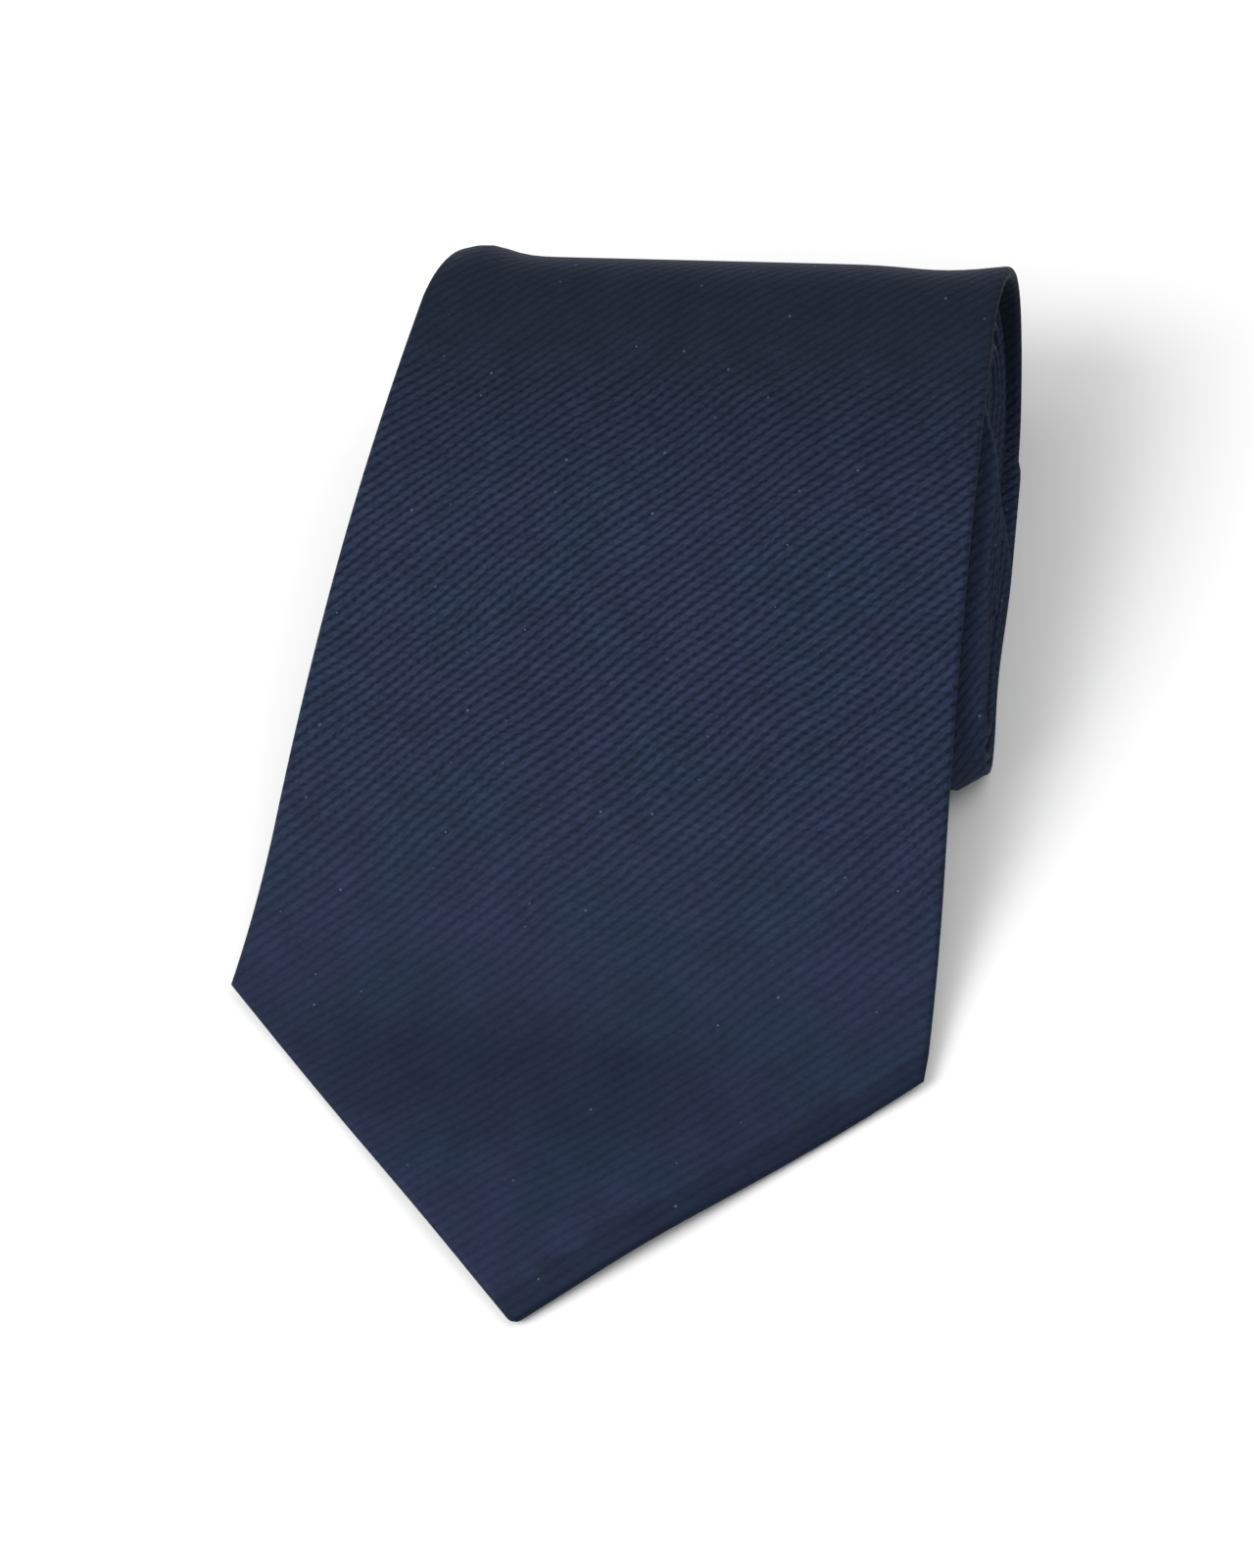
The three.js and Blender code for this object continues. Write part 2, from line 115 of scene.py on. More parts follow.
@dataclass(frozen=True)
class Station:
    """A place on the strip: distance from the blade's point, side-view position, travel slope and wrap."""

    s: float
    y: float
    z: float
    slope: float
    wrap: float


@dataclass(frozen=True)
class DropShape:
    """One closed turn of the roll, as a big bend behind, a small bend in front and a flat base."""

    depth: float
    big: float
    small: float
    reach: float
    tilt: float
    crown: float


@dataclass(frozen=True)
class Swell:
    """A soft handling mark: its height, and its middle and width along and across the cloth."""

    height: float
    along: Point
    across: Point
    lean: float = 0.0

    def at(self, s: float, x: float) -> float:
        """How far the cloth stands off at s along and x across."""
        return self.height * bell(s - self.lean * x, *self.along) * bell(x, *self.across)


POINT_MARKS = (Swell(1.2, (12, 9), (3, 26)), Swell(-0.7, (32, 8), (-6, 26), 0.12))
BLADE_MARKS = (Swell(0.85, (94, 13), (14, 14), 0.4), Swell(0.5, (82, 17), (-22, 16), -0.35))
CREST_MARKS = (
    Swell(1.4, (15, 11), (-33.5, 4.2)),
    Swell(0.3, (15, 11), (37, 3)),
    Swell(-0.5, (15, 11), (28, 6)),
)


@dataclass
class TieShape:
    """The tie's driving sizes in millimetres, its side-view path and its outline."""

    blade_width: float = 86.0
    blade_offset: float = -0.5
    corner_left: float = 37.8
    corner_right: float = 34.6
    point_shift: float = 2.9
    point_blunt: float = 1.6
    tip_s: float = -1.0
    tip_round: float = 1.2
    tip_arc: float = 0.3
    taper: float = 0.109
    neck_width: float = 35.0
    tail_width: float = 41.0
    tail_flare: float = 330.0
    tail_point: float = 19.0
    landing_s: float = 26.0
    steep_s: float = 59.0
    steep_deg: float = 24.5
    shoulder_s: float = 89.0
    shoulder_deg: float = 17.0
    crest_s: float = 133.0
    crest_deg: float = 6.5
    reach: float = 51.0
    front_radius: float = 7.0
    tightest_bend: float = 1.05
    wrap_pitch: float = 1.0
    first_wrap_depth: float = 1.68
    top_looseness: float = 1.0
    core_shrink: float = 10.5
    wrap_crown: float = 1.5
    crown_fade: float = 8.0
    core_radius: float = 1.5
    core_reach: float = 6.0
    edge_at_crest: float = 37.2
    wrap_edge_offset: float = 0.3
    roll_skew: float = 0.098
    wrap_wander: float = 0.45
    wander_rate: float = 1.9
    wander_start: float = 0.4
    fold_gap: float = 2.4
    fold_gap_span: Point = (-22.0, 13.0)
    foot_flare: float = 0.5
    corner_setback: float = 2.6
    setback_across: Point = (39.5, 3.5)
    setback_along: Point = (36.0, 14.0)
    corner_tuck: float = 0.5
    tuck_across: Point = (38.0, 4.0)
    tuck_along: Point = (20.0, 16.0)
    blade_thickness: float = 1.5
    wrap_thickness: float = 0.88
    thinning: Point = (40.0, 90.0)
    face_cloth: float = 0.35
    wrap_face_cloth: float = 0.25
    hem: float = 10.0
    back_apex: float = 92.0
    back_gap: float = 0.06
    tail_hem_share: float = 0.6
    tail_apex: float = 46.0
    path: List[Station] = field(default_factory=list)
    origin: Vector = field(default_factory=Vector)

    def __post_init__(self) -> None:
        """Works out the fold, the path and where the path's own origin sits in the row frame."""
        flap = self.flap_path()
        crest = flap[-1]
        self.fold_radius = crest.z / (1.0 + math.cos(crest.slope))
        self.roll_y = crest.y + self.fold_radius * math.sin(crest.slope)
        self.path = flap + self.roll_path(crest)
        self.marks = [p.s for p in self.path]
        self.length = self.path[-1].s
        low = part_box("blade_panel_tip")[0]
        left = self.blade_offset - self.blade_width / 2
        self.origin = Vector((low.x - left * MM, low.y, 0.0))

    def flap_slope(self, s: float) -> float:
        """Slope of the flap at s, in radians."""
        marks = (self.landing_s, self.steep_s, self.shoulder_s, self.crest_s)
        slopes = (0.0, self.steep_deg, self.shoulder_deg, self.crest_deg)
        for start, end, a, b in zip(marks, marks[1:], slopes, slopes[1:]):
            if s <= end:
                return math.radians(mix(a, b, max(0.0, (s - start) / (end - start))))
        return math.radians(self.crest_deg)

    def flap_path(self) -> List[Station]:
        """The face of the flap from the blade's point to the crest, in half-millimetre steps."""
        step = 0.5
        y, z = 0.0, self.blade_thickness
        path = [Station(0.0, y, z, 0.0, 0.0)]
        for k in range(int(self.crest_s / step)):
            slope = self.flap_slope((k + 0.5) * step)
            y += step * math.cos(slope)
            z += step * math.sin(slope)
            s = (k + 1) * step
            path.append(Station(s, y, z, self.flap_slope(s), 0.0))
        return path

    def drop_shape(self, depth: float) -> DropShape:
        """The closed shape of a turn whose base lies depth above the table."""
        loose = self.top_looseness * min(1.0, depth / self.first_wrap_depth)
        big = self.fold_radius - depth - loose
        small = max(self.tightest_bend, self.front_radius - depth)
        beyond = max(0.0, depth - (self.front_radius - self.tightest_bend))
        reach = max(self.core_reach, self.reach - self.core_shrink * beyond)
        tilt = 2.0 * math.atan((big - small) / reach)
        crown = self.wrap_crown * clamp(1 - depth / self.crown_fade, 0, 1)
        return DropShape(depth, big, small, reach, tilt, crown)

    def wrap_depth(self, turn: int) -> float:
        """Height of a turn's base above the table."""
        return 0.0 if turn == 0 else self.first_wrap_depth + self.wrap_pitch * (turn - 1)

    def roll_path(self, crest: Station) -> List[Station]:
        """The rest of the face: round the back, along the table and inwards to the tail's point.

        Args:
            crest: the last station of the flap.

        Returns:
            The stations after it.
        """
        path: List[Station] = []
        last = crest

        def add(y: float, z: float, slope: float, wrap: float) -> None:
            """Adds a station one chord further on."""
            nonlocal last
            last = Station(last.s + math.hypot(y - last.y, z - last.z), y, z, slope, wrap)
            path.append(last)

        def bend(cy: float, cz: float, radius: float, slope: float) -> Point:
            """The point of a bend where the travel slope is slope."""
            return cy - radius * math.sin(slope), cz + radius * math.cos(slope)

        turn = 0
        while True:
            shape = self.drop_shape(self.wrap_depth(turn))
            start = crest.slope if turn == 0 else shape.tilt
            steps = 40 if turn == 0 else 22
            for i in range(1, steps + 1):
                slope = mix(start, -math.pi, i / steps)
                add(*bend(self.roll_y, shape.depth + shape.big, shape.big, slope), slope, turn)
            for i in range(1, 9):
                add(self.roll_y - shape.reach * i / 8, shape.depth, -math.pi, turn)
            after = self.drop_shape(self.wrap_depth(turn + 1))
            if after.big < self.core_radius:
                return path
            front, top = 14, 12
            for i in range(1, front + 1):
                slope = mix(-math.pi, -2 * math.pi + after.tilt, i / front)
                centre = self.roll_y - shape.reach
                y, z = bend(centre, shape.depth + shape.small, shape.small, slope)
                add(y, z, slope, turn + i / front * 5 / 9)
            a = last
            by, bz = bend(self.roll_y, after.depth + after.big, after.big, after.tilt)
            climb = math.atan2(bz - a.z, by - a.y)
            for i in range(1, top + 1):
                u = i / top
                lift = after.crown * 4 * u * (1 - u)
                lean = math.atan(after.crown * 4 * (1 - 2 * u) / shape.reach)
                y = mix(a.y, by, u) - lift * math.sin(climb)
                z = mix(a.z, bz, u) + lift * math.cos(climb)
                add(y, z, climb + lean, turn + mix(5 / 9, 1.0, u))
            turn += 1

    def at(self, s: float) -> Station:
        """The station at distance s."""
        i = int(clamp(bisect_right(self.marks, s), 1, len(self.path) - 1))
        a, b = self.path[i - 1], self.path[i]
        u = min((s - a.s) / (b.s - a.s), 1.0)
        whole_turn = 2 * math.pi if b.slope - a.slope > math.pi else 0.0
        ends = ((a.y, b.y), (a.z, b.z), (a.slope + whole_turn, b.slope), (a.wrap, b.wrap))
        return Station(s, *(mix(p, q, u) for p, q in ends))

    def width(self, s: float) -> float:
        """Folded width of the strip at s."""
        to_end = self.length - s
        blade = self.blade_width - self.taper * max(0.0, s - self.corner_left)
        flare = mix(self.tail_width, self.neck_width, (to_end - self.tail_point) / self.tail_flare)
        body = max(blade, self.neck_width, min(flare, self.tail_width))
        return min(body, mix(2 * self.point_blunt, self.tail_width, to_end / self.tail_point))

    def edges(self, s: float) -> Point:
        """Left and right edge of the strip at s."""
        if s <= self.crest_s:
            half, side = self.blade_width / 2, self.width(s) / 2
            to_left = min(s / self.corner_left, 1.0)
            to_right = min(s / self.corner_right, 1.0)
            left_half = half if to_left < 1 else side
            right_half = half if to_right < 1 else side
            left = mix(self.point_shift - self.point_blunt, self.blade_offset - left_half, to_left)
            right = mix(self.point_shift + self.point_blunt, self.blade_offset + right_half, to_right)
            past_tip = s - self.tip_s
            if past_tip < self.tip_arc:
                room = math.sqrt(max(0.0, past_tip * (2 * self.tip_round - past_tip)))
                mid = (left + right) / 2
                left, right = max(left, mid - room), min(right, mid + room)
            return left, right
        p = self.at(s)
        wander = math.sin(self.wander_rate * p.wrap + self.wander_start)
        stray = self.wrap_edge_offset + self.wrap_wander * wander
        stray -= self.fold_gap * eased(p.y - self.roll_y, *self.fold_gap_span)
        settled = self.edge_at_crest + self.roll_skew * (self.roll_y - p.y) + min(1.0, p.wrap) * stray
        fold_share = smooth((s - self.crest_s) / (math.pi * self.fold_radius))
        at_crest = self.blade_offset + self.width(self.crest_s) / 2
        right = mix(at_crest, settled, fold_share)
        bottom_s = self.crest_s + self.fold_radius * (math.pi + math.radians(self.crest_deg))
        right += self.foot_flare * eased(s - bottom_s, 1.0, 3.0) * smooth(4.0 - 4.0 * p.wrap)
        if self.length - s < self.tail_point:
            right -= (self.tail_width - self.width(s)) / 2
        return right - self.width(s), right

    def thickness(self, s: float) -> float:
        """Thickness of the folded strip at s, all layers together."""
        return mix(self.blade_thickness, self.wrap_thickness, eased(s - self.crest_s, *self.thinning))

    def cloth(self, s: float) -> float:
        """Thickness of the face cloth at s."""
        return mix(self.face_cloth, self.wrap_face_cloth, eased(s - self.crest_s, *self.thinning))

    def back_opening(self, s: float) -> Point:
        """Inner edges of the two back folds at s."""
        left, right = self.edges(s)
        mid, room = (left + right) / 2, (right - left) / 2
        half = self.back_gap / 2
        hem = self.hem * math.hypot(self.blade_width / 2, self.corner_left) / self.corner_left
        tail_hem = self.tail_hem_share * hem
        spans = (
            (s, self.corner_left, self.back_apex, self.blade_width / 2 - hem, hem),
            (self.length - s, self.tail_point, self.tail_apex, self.tail_width / 2 - tail_hem, tail_hem),
        )
        for distance, corner, apex, wide, edge in spans:
            if distance < apex:
                closing = mix(wide, self.back_gap / 2, (distance - corner) / (apex - corner))
                half = max(half, min(room - edge, closing))
        return mid - half, mid + half

    def axis(self, s: float) -> float:
        """Where the cut's own centre line lies across the strip at s."""
        return self.blade_offset if s <= self.crest_s else sum(self.edges(s)) / 2

    def swell(self, s: float, x: float) -> float:
        """How far the cloth stands off its plain shape: soft handling marks in the blade and its fold."""
        on_blade = eased(s, 14, 30) * eased(self.crest_s - s, -8, 40)
        blade = on_blade * sum(mark.at(s, x) for mark in BLADE_MARKS)
        fold = sum(mark.at(s - self.crest_s, x) for mark in CREST_MARKS)
        return fold + sum(mark.at(s, x) for mark in POINT_MARKS) + blade

    def place(self, s: float, x: float, depth: float) -> Vector:
        """A point of the strip in the row frame, in metres.

        Args:
            s: distance from the blade's point.
            x: place across the strip.
            depth: how far in from the face.

        Returns:
            The point.
        """
        p = self.at(s)
        swell = self.swell(s, x) if s < self.crest_s + 60 else 0.0
        if s < self.crest_s:
            swell = max(swell, self.thickness(s) - p.z / math.cos(p.slope))
        d = depth - swell
        y = p.y + d * math.sin(p.slope)
        z = p.z - d * math.cos(p.slope)
        if s > self.crest_s:
            setback = eased(x, *self.setback_across) * eased(self.roll_y - y, *self.setback_along)
            y += self.corner_setback * setback
            tuck = eased(x, *self.tuck_across) * eased(self.roll_y - y, *self.tuck_along)
            x -= self.corner_tuck * tuck
        return self.origin + Vector((x, y, max(z, 0.0))) * MM

    def normal(self, s: float) -> Vector:
        """Outward direction of the face at s."""
        slope = self.at(s).slope
        return Vector((0.0, -math.sin(slope), math.cos(slope)))

    def stops(self, start: float, end: float, step: float) -> List[float]:
        """Even distances from start to end, about step apart."""
        count = max(1, round((end - start) / step))
        return [mix(start, end, i / count) for i in range(count + 1)]


# ---------------------------------------------------------------- finishes


Socket = bpy.types.NodeSocket


def linear(hex_colour: str) -> Tuple[float, float, float, float]:
    """An sRGB hex colour as linear RGBA."""
    channels = [int(hex_colour[i : i + 2], 16) / 255 for i in (1, 3, 5)]
    linear_rgb = [c / 12.92 if c <= 0.04045 else ((c + 0.055) / 1.055) ** 2.4 for c in channels]
    return (*linear_rgb, 1.0)


class Graph:
    """A material's node tree, with one way to add a node and short names for the commonest."""

    def __init__(self, name: str) -> None:
        """Starts a material with an empty tree."""
        self.material = bpy.data.materials.new(name)
        self.material.use_nodes = True
        self.tree = self.material.node_tree
        self.tree.nodes.clear()

    def add(self, kind: str, inputs: Optional[dict] = None, **settings: object) -> bpy.types.Node:
        """Adds a node.

        Args:
            kind: the node's type name after "ShaderNode".
            inputs: socket name or number to a value or an output socket.
            settings: the node's own properties.

        Returns:
            The node.
        """
        node = self.tree.nodes.new("ShaderNode" + kind)
        for name, value in settings.items():
            setattr(node, name, value)
        for key, value in (inputs or {}).items():
            if isinstance(value, Socket):
                self.tree.links.new(value, node.inputs[key])
            else:
                node.inputs[key].default_value = value
        return node

    def math(self, operation: str, *values: object) -> Socket:
        """One step of arithmetic."""
        return self.add("Math", dict(enumerate(values)), operation=operation).outputs[0]

    def vector(self, operation: str, *values: object) -> Socket:
        """One step of vector arithmetic."""
        return self.add("VectorMath", dict(enumerate(values)), operation=operation).outputs[0]

    def scaled(self, vector: object, factor: object) -> Socket:
        """A vector or colour times a number."""
        return self.add("VectorMath", {0: vector, "Scale": factor}, operation="SCALE").outputs[0]

    def times(self, product: Socket, *others: object) -> Socket:
        """The product of all the values."""
        for other in others:
            product = self.math("MULTIPLY", product, other)
        return product

    def ramp(self, value: Socket, low: float, high: float, start: float = 0.0, end: float = 1.0,
             ease: bool = True) -> Socket:
        """Takes a value between low and high to one between start and end.

        Args:
            value: the value.
            low: where the ramp begins.
            high: where it ends.
            start: the result up to low.
            end: the result from high on.
            ease: whether the ramp starts and stops softly.

        Returns:
            The result.
        """
        inputs = {0: value, 1: low, 2: high, 3: start, 4: end}
        kind = "SMOOTHSTEP" if ease else "LINEAR"
        return self.add("MapRange", inputs, interpolation_type=kind).outputs[0]

    def noise(self, place: Socket, scale: float, detail: float) -> bpy.types.Node:
        """Noise over a flat layout."""
        inputs = {"Vector": place, "Scale": scale, "Detail": detail}
        return self.add("TexNoise", inputs, noise_dimensions="2D")

    def blend(self, share: Socket, first: object, second: object) -> Socket:
        """A colour between two others."""
        return self.add("Mix", {0: share, 6: first, 7: second}, data_type="RGBA").outputs[2]

    def layout(self) -> Socket:
        """The cloth's own layout in millimetres."""
        return self.add("UVMap", uv_map="cloth_mm").outputs[0]

    def parts(self, vector: Socket) -> Sequence[Socket]:
        """The three parts of a vector."""
        return self.add("SeparateXYZ", {0: vector}).outputs

    def bump(self, height: Socket, distance: float, strength: float = 1.0) -> Socket:
        """Relief of a height, with its distance in millimetres."""
        inputs = {"Strength": strength, "Distance": distance * MM, "Height": height}
        return self.add("Bump", inputs).outputs[0]

    def finish(self, looks: dict) -> bpy.types.Material:
        """Connects a shader with these inputs to the output and hands over the material."""
        shader = self.add("BsdfPrincipled", looks)
        self.add("OutputMaterial", {"Surface": shader.outputs[0]})
        return self.material


@dataclass(frozen=True)
class RibbedTieCloth:
    """Polyester tie silk woven with a steep diagonal rib: rope-like ribs with dark broken valleys.

    Places are in cloth millimetres, along from the blade's point and across from the middle of the cut.
    """

    name: str = "woven_ribbed_tie_cloth"
    crest: str = "#283249"
    valley: str = "#0f1527"
    lint: str = "#434e69"
    lint_size: float = 0.03
    sheen: str = "#7f90c0"
    teal: Triple = (0.92, 1.04, 1.0)
    violet: Triple = (1.07, 0.97, 1.03)
    # painted shade: the top fold's colour is darkened and dulled to stand in for the shade it falls in
    fold_painted_shade: Triple = (0.52, 0.57, 0.50)
    mottling: Point = (0.91, 1.09)
    # painted shade: the noses of the side folds are darkened
    edge_painted_shade: float = 0.7
    edge_shine: Point = (0.12, 0.08)
    point_rise: Point = (30.0, 80.0)
    point_stand: float = 0.3
    onto_fold: Point = (96.0, 136.0)
    off_fold: Point = (160.0, 190.0)
    fold_stand: float = 0.42
    covered: Point = (184.0, 200.0)
    covered_stand: float = 0.6
    # painted shade: the wraps under the blade are darkened
    covered_painted_shade: float = 0.93
    # painted shade: a darker band across the bend where the blade meets the table
    landing_rise: Point = (16.0, 28.0)
    landing_fall: Point = (31.0, 46.0)
    landing_left: Point = (-42.0, -18.0)
    landing_right: Point = (2.0, 30.0)
    landing_side: float = 0.3
    landing_painted_shade: float = 0.74
    # painted shade: a darker band along the point's right edge
    point_across: float = 3.4
    hem_reach: Point = (39.6, 34.6)
    hem_inner: Point = (3.6, 5.0)
    hem_outer: Point = (-1.5, 0.5)
    hem_waver: float = 3.0
    hem_painted_shade: float = 0.76
    rib_pitch: float = 1.38
    rib_angle: float = 43.5
    rib_drift: float = 2.0
    float_pitch: float = 1.25
    float_lean: float = 0.8
    strand_low: float = 0.78
    dash_low: float = 0.62
    fibre_scale: Triple = (0.9, 2.2, 1.0)
    fibre_low: float = 0.52
    relief: float = 0.155
    mean_height: float = 0.58

    def pressed_and_painted_shade(self, g: Graph, s: Socket) -> Tuple[Socket, Socket]:
        """Where pressing has changed the cloth's ribs, and where the top fold takes painted shade.

        Args:
            g: the material's graph.
            s: distance from the blade's point, in mm.

        Returns:
            How high the ribs stand, and how far a place belongs to the top fold, which takes painted shade.
        """
        point = g.ramp(s, *self.point_rise, self.point_stand)
        fold = g.math("SUBTRACT", g.ramp(s, *self.onto_fold), g.ramp(s, *self.off_fold))
        open_cloth = g.ramp(fold, 0.55, 0.95, 1.0, self.fold_stand)
        covered = g.ramp(s, *self.covered, 1.0, self.covered_stand)
        return g.times(point, open_cloth, covered), fold

    def ribs(self, g: Graph, uv: Socket) -> Socket:
        """Height of the weave, 0 in a valley and 1 on a float.

        Args:
            g: the material's graph.
            uv: the cloth's own layout in mm.

        Returns:
            The height.
        """
        centred = g.vector("SUBTRACT", g.noise(uv, 0.05, 2.0).outputs["Color"], (0.5, 0.5, 0.5))
        warped = g.vector("ADD", uv, g.scaled(centred, self.rib_drift))
        angle = (0.0, 0.0, -math.radians(self.rib_angle))
        turned = g.add("Mapping", {"Vector": warped, "Rotation": angle}).outputs[0]
        along, across, _ = g.parts(turned)
        count = g.times(across, 1 / self.rib_pitch)
        ridge = g.ramp(g.math("COSINE", g.times(count, 2 * math.pi)), -1.0, 0.3)
        # each rib's floats start at their own place, so that they don't line up from rib to rib
        index = g.math("ROUND", count)
        start = g.add("TexWhiteNoise", {"W": index}, noise_dimensions="1D").outputs["Value"]
        lean = g.math("MULTIPLY_ADD", count, self.float_lean, start)
        floats = g.math("MULTIPLY_ADD", along, 1 / self.float_pitch, lean)
        strand = g.math("SINE", g.times(floats, 2 * math.pi))
        rope = g.ramp(strand, -1.0, 0.2, self.strand_low, ease=False)
        dash = g.ramp(strand, -0.9, 0.6, 1.0, self.dash_low, ease=False)
        valley = g.times(g.math("SUBTRACT", 1.0, ridge), dash)
        body = g.math("SUBTRACT", 1.0, valley)
        # fine irregular fibres break the ribs up
        stretch = g.add("Mapping", {"Vector": turned, "Scale": self.fibre_scale}).outputs[0]
        broken = g.ramp(g.noise(stretch, 0.9, 4.0).outputs[0], 0.34, 0.6, self.fibre_low, ease=False)
        return g.times(body, rope, broken)

    def landing(self, g: Graph, uv: Socket) -> Socket:
        """Painted shade across the soft bend where the blade meets the table: the colour is darkened there
        in place of shade.

        Args:
            g: the material's graph.
            uv: the cloth's own layout in mm.

        Returns:
            A factor for the colour.
        """
        across, along, _ = g.parts(uv)
        rise = g.ramp(along, *self.landing_rise)
        fall = g.ramp(along, *self.landing_fall, 1.0, 0.0)
        left = g.ramp(across, *self.landing_left, self.landing_side)
        right = g.ramp(across, *self.landing_right, 1.0, self.landing_side)
        return g.ramp(g.times(rise, fall, left, right), 0.0, 1.0, 1.0, self.landing_painted_shade, ease=False)

    def hem(self, g: Graph, uv: Socket, waver: Socket) -> Socket:
        """Painted shade in a band along the right side of the point, where the rolled edge turns from the
        light.

        Args:
            g: the material's graph.
            uv: the cloth's own layout in mm.
            waver: noise that varies the band's width.

        Returns:
            A factor for the colour.
        """
        across, along = self.hem_reach
        side = math.hypot(across, along)
        from_point = g.vector("SUBTRACT", uv, (self.point_across, 0.0, 0.0))
        inwards = (-along / side, across / side, 0.0)
        towards = g.add("VectorMath", {0: from_point, 1: inwards}, operation="DOT_PRODUCT").outputs["Value"]
        inward = g.math("MULTIPLY_ADD", waver, self.hem_waver, towards)
        clear = g.math("MAXIMUM", g.ramp(inward, *self.hem_inner), g.ramp(inward, *self.hem_outer, 1.0, 0.0))
        return g.ramp(clear, 0.0, 1.0, self.hem_painted_shade, 1.0, ease=False)

    def colour_and_painted_shade(self, g: Graph, uv: Socket, level: Socket, fold: Socket, edge: Socket) -> Socket:
        """Colour of the cloth: dark valleys, slow mottling, sparse lint, and painted shade on the top fold,
        the fold edges, the landing bend, the covered wraps and the point's right hem.

        Args:
            g: the material's graph.
            uv: the cloth's own layout in mm.
            level: height of the weave as it shows.
            fold: how far a place belongs to the top fold.
            edge: how near a place is to the nose of a side fold, which takes painted shade.

        Returns:
            The colour.
        """
        yarn = g.blend(level, linear(self.valley), linear(self.crest))
        side = g.ramp(g.noise(uv, 0.07, 5.0).outputs[0], 0.38, 0.62, ease=False)
        tint = g.blend(side, (*self.teal, 1.0), (*self.violet, 1.0))
        # painted shade: on the top fold the colour is pulled darker and duller
        fold_shaded_dye = g.vector("MULTIPLY", yarn, g.blend(fold, tint, (*self.fold_painted_shade, 1.0)))
        mottle = g.noise(uv, 0.2, 5.0).outputs[0]
        shade = g.ramp(mottle, 0.3, 0.7, *self.mottling, ease=False)
        # painted shade on the noses of the side folds
        turned = g.ramp(edge, 0.2, 0.9, 1.0, self.edge_painted_shade, ease=False)
        # painted shade on the wraps under the blade
        covered = g.ramp(g.parts(uv)[1], *self.covered, 1.0, self.covered_painted_shade, ease=False)
        # mottling times the painted shades of the fold edges, the landing bend, the covered wraps and the
        # point's right hem
        pressed_and_painted_shade = g.times(shade, turned, self.landing(g, uv), covered, self.hem(g, uv, mottle))
        cells = g.add("TexVoronoi", {"Vector": uv, "Scale": 0.16}, voronoi_dimensions="2D")
        size = g.ramp(g.parts(cells.outputs["Color"])[0], 0.55, 1.0, 0.0, self.lint_size, ease=False)
        speck = g.math("LESS_THAN", cells.outputs["Distance"], size)
        return g.blend(speck, g.scaled(fold_shaded_dye, pressed_and_painted_shade), linear(self.lint))

    def build(self) -> bpy.types.Material:
        """Makes the material from the cloth's own millimetre layout."""
        g = Graph(self.name)
        uv = g.layout()
        stand, fold = self.pressed_and_painted_shade(g, g.parts(uv)[1])
        risen = g.math("SUBTRACT", self.ribs(g, uv), self.mean_height)
        level = g.math("MULTIPLY_ADD", risen, stand, self.mean_height)
        edge = g.add("Attribute", attribute_name="fold_edge").outputs["Fac"]
        looks = {
            "Base Color": self.colour_and_painted_shade(g, uv, level, fold, edge),
            "Roughness": 0.66,
            "IOR": 1.4,
            "Specular IOR Level": g.ramp(edge, 0.2, 0.8, *self.edge_shine, ease=False),
            "Sheen Weight": 0.07,
            "Sheen Roughness": 0.4,
            "Sheen Tint": linear(self.sheen),
            "Normal": g.bump(level, self.relief),
        }
        return g.finish(looks)


@dataclass(frozen=True)
class SatinLining:
    """Navy satin lining: long floats along the tie give a silky streak and a tighter highlight."""

    name: str = "woven_satin_lining"
    colour: str = "#1d2438"
    thread: float = 0.35
    streak_share: float = 0.12

    def build(self) -> bpy.types.Material:
        """Makes the material; threads are drawn wider than life so that they show."""
        g = Graph(self.name)
        scale = (1 / self.thread, self.streak_share / self.thread, 1.0)
        stretch = g.add("Mapping", {"Vector": g.layout(), "Scale": scale}).outputs[0]
        streak = g.noise(stretch, 1.0, 3.0).outputs[0]
        tone = g.ramp(streak, 0.3, 0.7, 0.8, 1.25, ease=False)
        looks = {
            "Base Color": g.scaled(linear(self.colour)[:3], tone),
            "Roughness": 0.44,
            "Specular IOR Level": 0.3,
            "Anisotropic": 0.4,
            "Sheen Weight": 0.05,
            "Normal": g.bump(streak, 0.03, 0.6),
        }
        return g.finish(looks)


@dataclass(frozen=True)
class BrushedFelt:
    """Brushed wool interlining: matt, off-white and slightly hairy."""

    name: str = "brushed_wool_interlining"
    colour: str = "#d8d2c2"
    tuft: float = 0.8

    def build(self) -> bpy.types.Material:
        """Makes the material from felt tufts about a millimetre across."""
        g = Graph(self.name)
        tufts = g.noise(g.layout(), 1 / self.tuft, 6.0).outputs[0]
        tone = g.ramp(tufts, 0.3, 0.7, 0.82, 1.06, ease=False)
        colour = g.scaled(linear(self.colour)[:3], tone)
        looks = {"Base Color": colour, "Roughness": 0.95, "Sheen Weight": 0.3}
        return g.finish({**looks, "Normal": g.bump(tufts, 0.12, 0.8)})


@dataclass(frozen=True)
class SewingThread:
    """Twisted polyester thread: a fine slanted ply and a slight lustre."""

    name: str = "twisted_polyester_thread"
    colour: str = "#20273a"
    ply: float = 0.3

    def build(self) -> bpy.types.Material:
        """Makes the material from a plied twist drawn along the stitches."""
        g = Graph(self.name)
        scale = 1 / (self.ply * MM)
        inputs = {"Vector": g.add("TexCoord").outputs["Object"], "Scale": scale / 20, "Distortion": 1.0}
        twist = g.add("TexWave", inputs, bands_direction="DIAGONAL").outputs["Fac"]
        tone = g.ramp(twist, 0.0, 1.0, 0.75, 1.3, ease=False)
        colour = g.scaled(linear(self.colour)[:3], tone)
        looks = {"Base Color": colour, "Roughness": 0.55, "Sheen Weight": 0.2}
        return g.finish({**looks, "Normal": g.bump(twist, 0.04, 0.5)})


